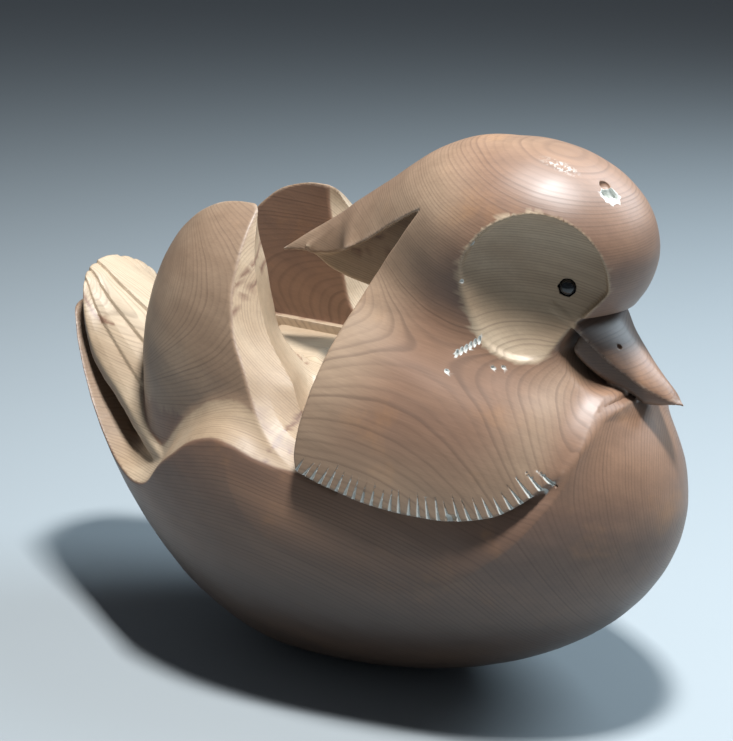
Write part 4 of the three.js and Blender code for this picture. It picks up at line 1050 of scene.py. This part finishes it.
def black_glass(look):
    """Black glass with a breath of dust in patches."""
    board = Board("black_glass")
    place = board.scaled(board.node("ShaderNodeTexCoord", output=3), 1 / MM)
    smear = board.noise(place, SMEAR, 3.0)
    colour = board.mix(smear.between(0.45, 0.75) * 0.5, look.bead, DUST)
    sockets = {"Base Color": colour, "Roughness": 0.05 + 0.14 * smear, "IOR": 1.52, "Coat Weight": 0.3}
    return board.finish(board.node("ShaderNodeBsdfPrincipled", None, sockets))


FLOOR_SPECK = 1 / 9


def matt(name, colour, roughness):
    """A plain matt paint, very slightly mottled."""
    board = Board(name)
    speck = board.noise(board.node("ShaderNodeTexCoord", output=3), FLOOR_SPECK, 3.0)
    tint = board.mix(speck * 0.10, colour, tuple(part * 0.9 for part in colour))
    sockets = {"Base Color": tint, "Roughness": roughness}
    return board.finish(board.node("ShaderNodeBsdfPrincipled", None, sockets))


BEAD_SIDES, BEAD_RINGS, BEAD_FLATTER, SEAM_DEPTH, SEAM_WIDTH = 48, 24, 0.92, 0.02, 0.12


def bead_mesh(name, centre, facing):
    """A pressed glass bead: round in front, a soft seam at its waist and flatter behind."""
    rings = np.linspace(0, math.pi, BEAD_RINGS + 1)[1:-1]
    turns = np.linspace(0, 2 * math.pi, BEAD_SIDES, endpoint=False)
    radius = BEAD_RADIUS - 0.02
    seam = 1 - SEAM_DEPTH * np.exp(-((rings - math.pi / 2) / SEAM_WIDTH) ** 2)
    out = np.cos(rings) * radius * np.where(rings < math.pi / 2, 1.0, BEAD_FLATTER)
    wide = np.sin(rings) * radius * seam
    across = np.cross(facing, (0, 0, 1))
    across /= np.linalg.norm(across)
    above = np.cross(across, facing)
    spokes = np.cos(turns)[:, None] * across + np.sin(turns)[:, None] * above
    body = centre + out[:, None, None] * facing + wide[:, None, None] * spokes[None]
    tips = np.stack([centre + facing * radius, centre - facing * radius * BEAD_FLATTER])
    points = np.concatenate([body.reshape(-1, 3), tips])
    front, back = len(points) - 2, len(points) - 1
    here, after = np.arange(BEAD_SIDES), np.roll(np.arange(BEAD_SIDES), -1)
    faces = []
    for r in range(len(rings) - 1):
        a, b = r * BEAD_SIDES, (r + 1) * BEAD_SIDES
        faces += list(zip(a + here, b + here, b + after, a + after))
    faces += list(zip(here, after, np.full(BEAD_SIDES, front)))
    last = (len(rings) - 1) * BEAD_SIDES
    faces += list(zip(last + after, last + here, np.full(BEAD_SIDES, back)))
    mesh = bpy.data.meshes.new(name)
    mesh.from_pydata(to_frame(points).tolist(), [], [tuple(int(i) for i in f) for f in faces])
    mesh.polygons.foreach_set("use_smooth", np.ones(len(mesh.polygons), dtype=bool))
    mesh.update()
    thing = bpy.data.objects.new(name, mesh)
    bpy.context.scene.collection.objects.link(thing)
    return thing


def tint(name, description, default):
    return FloatVectorProperty(
        name=name, description=description, subtype="COLOR", size=3, min=0, max=1, default=default)


def share(name, description, default):
    return FloatProperty(
        name=name, description=description, subtype="FACTOR", min=0, max=1, default=default)


def amount(name, description, default, least=0, **kind):
    return FloatProperty(name=name, description=description, default=default, min=least, **kind)


class DuckFinish(PropertyGroup):
    """The look of the wood and of the beads."""
    ring_spacing_mm: amount("Ring spacing (mm)", "Mean width of one year's growth", 0.9, 0.3)
    ring_strength: share("Ring strength", "How dark the late wood is", 0.40)
    grain_relief: share("Grain relief", "How far the grain stands up", 0.35)
    gloss_roughness: share("Wax roughness", "Roughness of the waxed faces", 0.50)
    wax_coat: share("Wax coat", "How much of a film the wax leaves", 0.40)
    bare_share: share("Bare share", "How much paler the knife's faces are", 0.95)
    # Painted shade in the hollows: how strongly they are darkened.
    hollow_shade: share("Grime", "Dirt left in the hollows", 0.62)
    # Darkens the lower hull as stain and painted shade, and paints the brow's shadow on the sides of the
    # bill.
    stain_and_shade_share: share("Stain", "How much darker the handled hull and the sides of the bill are", 0.92)
    wear: share("Wear", "How far the edges are rubbed pale", 0.30)
    wax_dark: tint("Waxed wood, dark", "Darker patches of the smooth outside", (0.185, 0.104, 0.068))
    wax_warm: tint("Waxed wood, warm", "Warmer patches of the smooth outside", (0.265, 0.148, 0.090))
    wax_amber: tint("Waxed wood, amber", "Amber patches of the smooth outside", (0.350, 0.175, 0.078))
    bare_warm: tint("Cut wood, warm", "Darker patches of the knife's faces", (0.385, 0.268, 0.168))
    bare_pale: tint("Cut wood, pale", "Paler patches of the knife's faces", (0.520, 0.405, 0.280))
    late_wood: tint("Late wood", "The dark line at the end of each ring", (0.070, 0.036, 0.022))
    worn_wood: tint("Worn wood", "Edges rubbed through the wax", (0.620, 0.520, 0.420))
    broken_wood: tint("Broken wood", "Chalky wood in the cuts and chips", (0.640, 0.650, 0.610))
    # The colour of the painted shade in the hollows.
    hollow_shade_colour: tint("Dirt", "Old wax and dust in the hollows", (0.060, 0.042, 0.034))
    bead: tint("Bead", "The glass of the eyes", (0.006, 0.007, 0.009))


class StudioLook(PropertyGroup):
    """The floor, the lights and the lens."""
    floor_colour: tint("Floor", "The pale floor", (0.34, 0.37, 0.385))
    air_colour: tint("Air", "The even light from all round", (0.80, 0.88, 1.0))
    air_strength: amount("Air strength", "Strength of the even light", 0.10)
    key_power: amount("Lamp", "Power of the lamp above the duck", 18.0, subtype="POWER")
    fill_power: amount("Sky light", "Power of the broad light behind the duck", 18.0, subtype="POWER")
    floor_size: amount("Floor size", "Width of the floor", 12.0, 1, unit="LENGTH")
    lens: amount("Lens", "Focal length of the camera", 82.1, 10, unit="CAMERA")


class CarveBlock(Operator):
    """Carve the duck from its block, with its knife cuts and chips, and wax it"""
    bl_idname = "duck.carve_block"
    bl_label = "Carve the block"

    def execute(self, context):
        duck = carve()
        duck.data.materials.append(waxed_wood(context.scene.duck_finish))
        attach(duck, "root")
        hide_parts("duck")
        return {"FINISHED"}


class SetBeadEyes(Operator):
    """Set a black glass bead in the socket of each eye dish"""
    bl_idname = "duck.set_bead_eyes"
    bl_label = "Set the bead eyes"

    def execute(self, context):
        glass = black_glass(context.scene.duck_finish)
        for node, side in (("eye_left", 1), ("eye_right", -1)):
            facing = np.array([math.sin(DISH_FACING), side * math.cos(DISH_FACING), 0])
            bead = bead_mesh("bead_" + node, BEAD * (1, side, 1), facing)
            bead.data.materials.append(glass)
            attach(bead, "root")
            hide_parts(node)
        return {"FINISHED"}


# The camera and the lights are placed in the frame's metres, and turned in degrees.
VIEW_FROM, VIEW_PAN, VIEW_TILT = (0.36106, -0.50898, 0.30273), 35.0, 17.0
MIDDLE = Vector((0.0, 0.0, 0.10))
LAMP_AT, LAMP_SIZE, LAMP_COLOUR = (0.205, -0.115, 1.03), 0.14, (0.95, 0.98, 1.0)
SKY_AT, SKY_SIZE, SKY_COLOUR = (0.55, 0.75, 0.95), 0.9, (0.70, 0.87, 1.0)
FLOOR_ROUGHNESS = 0.7


def area_light(name, place, size, power, colour):
    """A square soft light at a place, turned towards the duck."""
    light = bpy.data.lights.new(name, "AREA")
    light.shape = "SQUARE"
    light.size = size
    light.energy = power
    light.color = colour
    thing = bpy.data.objects.new(name, light)
    bpy.context.scene.collection.objects.link(thing)
    thing.location = place
    thing.rotation_euler = (MIDDLE - Vector(place)).to_track_quat("-Z", "Y").to_euler()


class LightStage(Operator):
    """Lay the pale floor, hang the soft lights and stand the camera"""
    bl_idname = "duck.light_stage"
    bl_label = "Light the stage"

    def execute(self, context):
        look = context.scene.duck_stage
        half = look.floor_size / 2
        corners = [(-half, -half), (half, -half), (half, half), (-half, half)]
        mesh = bpy.data.meshes.new("floor")
        mesh.from_pydata([(x, y, cad_low[2]) for x, y in corners], [], [(0, 1, 2, 3)])
        floor = bpy.data.objects.new("floor", mesh)
        context.scene.collection.objects.link(floor)
        floor.data.materials.append(matt("pale_floor", look.floor_colour, FLOOR_ROUGHNESS))
        floor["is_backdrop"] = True
        area_light("lamp", LAMP_AT, LAMP_SIZE, look.key_power, LAMP_COLOUR)
        area_light("sky", SKY_AT, SKY_SIZE, look.fill_power, SKY_COLOUR)
        context.scene.view_settings.view_transform = "Standard"
        world = bpy.data.worlds.new("air")
        world.use_nodes = True
        background = world.node_tree.nodes["Background"]
        background.inputs["Color"].default_value = (*look.air_colour, 1)
        background.inputs["Strength"].default_value = look.air_strength
        context.scene.world = world
        camera = bpy.data.cameras.new("camera")
        camera.lens = look.lens
        viewer = bpy.data.objects.new("camera", camera)
        viewer.location = VIEW_FROM
        viewer.rotation_euler = (math.radians(90 - VIEW_TILT), 0, math.radians(VIEW_PAN))
        context.scene.collection.objects.link(viewer)
        context.scene.camera = viewer
        return {"FINISHED"}


class DuckPanel(Panel):
    """The settings and the steps, one box each for the duck and its stage."""
    bl_idname = "VIEW3D_PT_carved_duck"
    bl_label = "Carved duck"
    bl_space_type = "VIEW_3D"
    bl_region_type = "UI"
    bl_category = "Carved duck"

    def draw(self, context):
        for title, group, steps in PANEL_PARTS:
            box = self.layout.box()
            box.label(text=title)
            look = getattr(context.scene, group)
            for name in look.bl_rna.properties.keys():
                if name not in ("rna_type", "name"):
                    box.prop(look, name)
            for step in steps:
                box.operator(step.bl_idname)


PANEL_PARTS = (("Duck", "duck_finish", (CarveBlock, SetBeadEyes)), ("Stage", "duck_stage", (LightStage,)))
CLASSES = (DuckFinish, StudioLook, CarveBlock, SetBeadEyes, LightStage, DuckPanel)


def register():
    for each in CLASSES:
        bpy.utils.register_class(each)
    bpy.types.Scene.duck_finish = PointerProperty(type=DuckFinish)
    bpy.types.Scene.duck_stage = PointerProperty(type=StudioLook)


def unregister():
    del bpy.types.Scene.duck_stage
    del bpy.types.Scene.duck_finish
    for each in reversed(CLASSES):
        bpy.utils.unregister_class(each)


def main():
    register()
    bpy.ops.duck.carve_block()
    bpy.ops.duck.set_bead_eyes()
    bpy.ops.duck.light_stage()


if __name__ == "__main__":
    main()
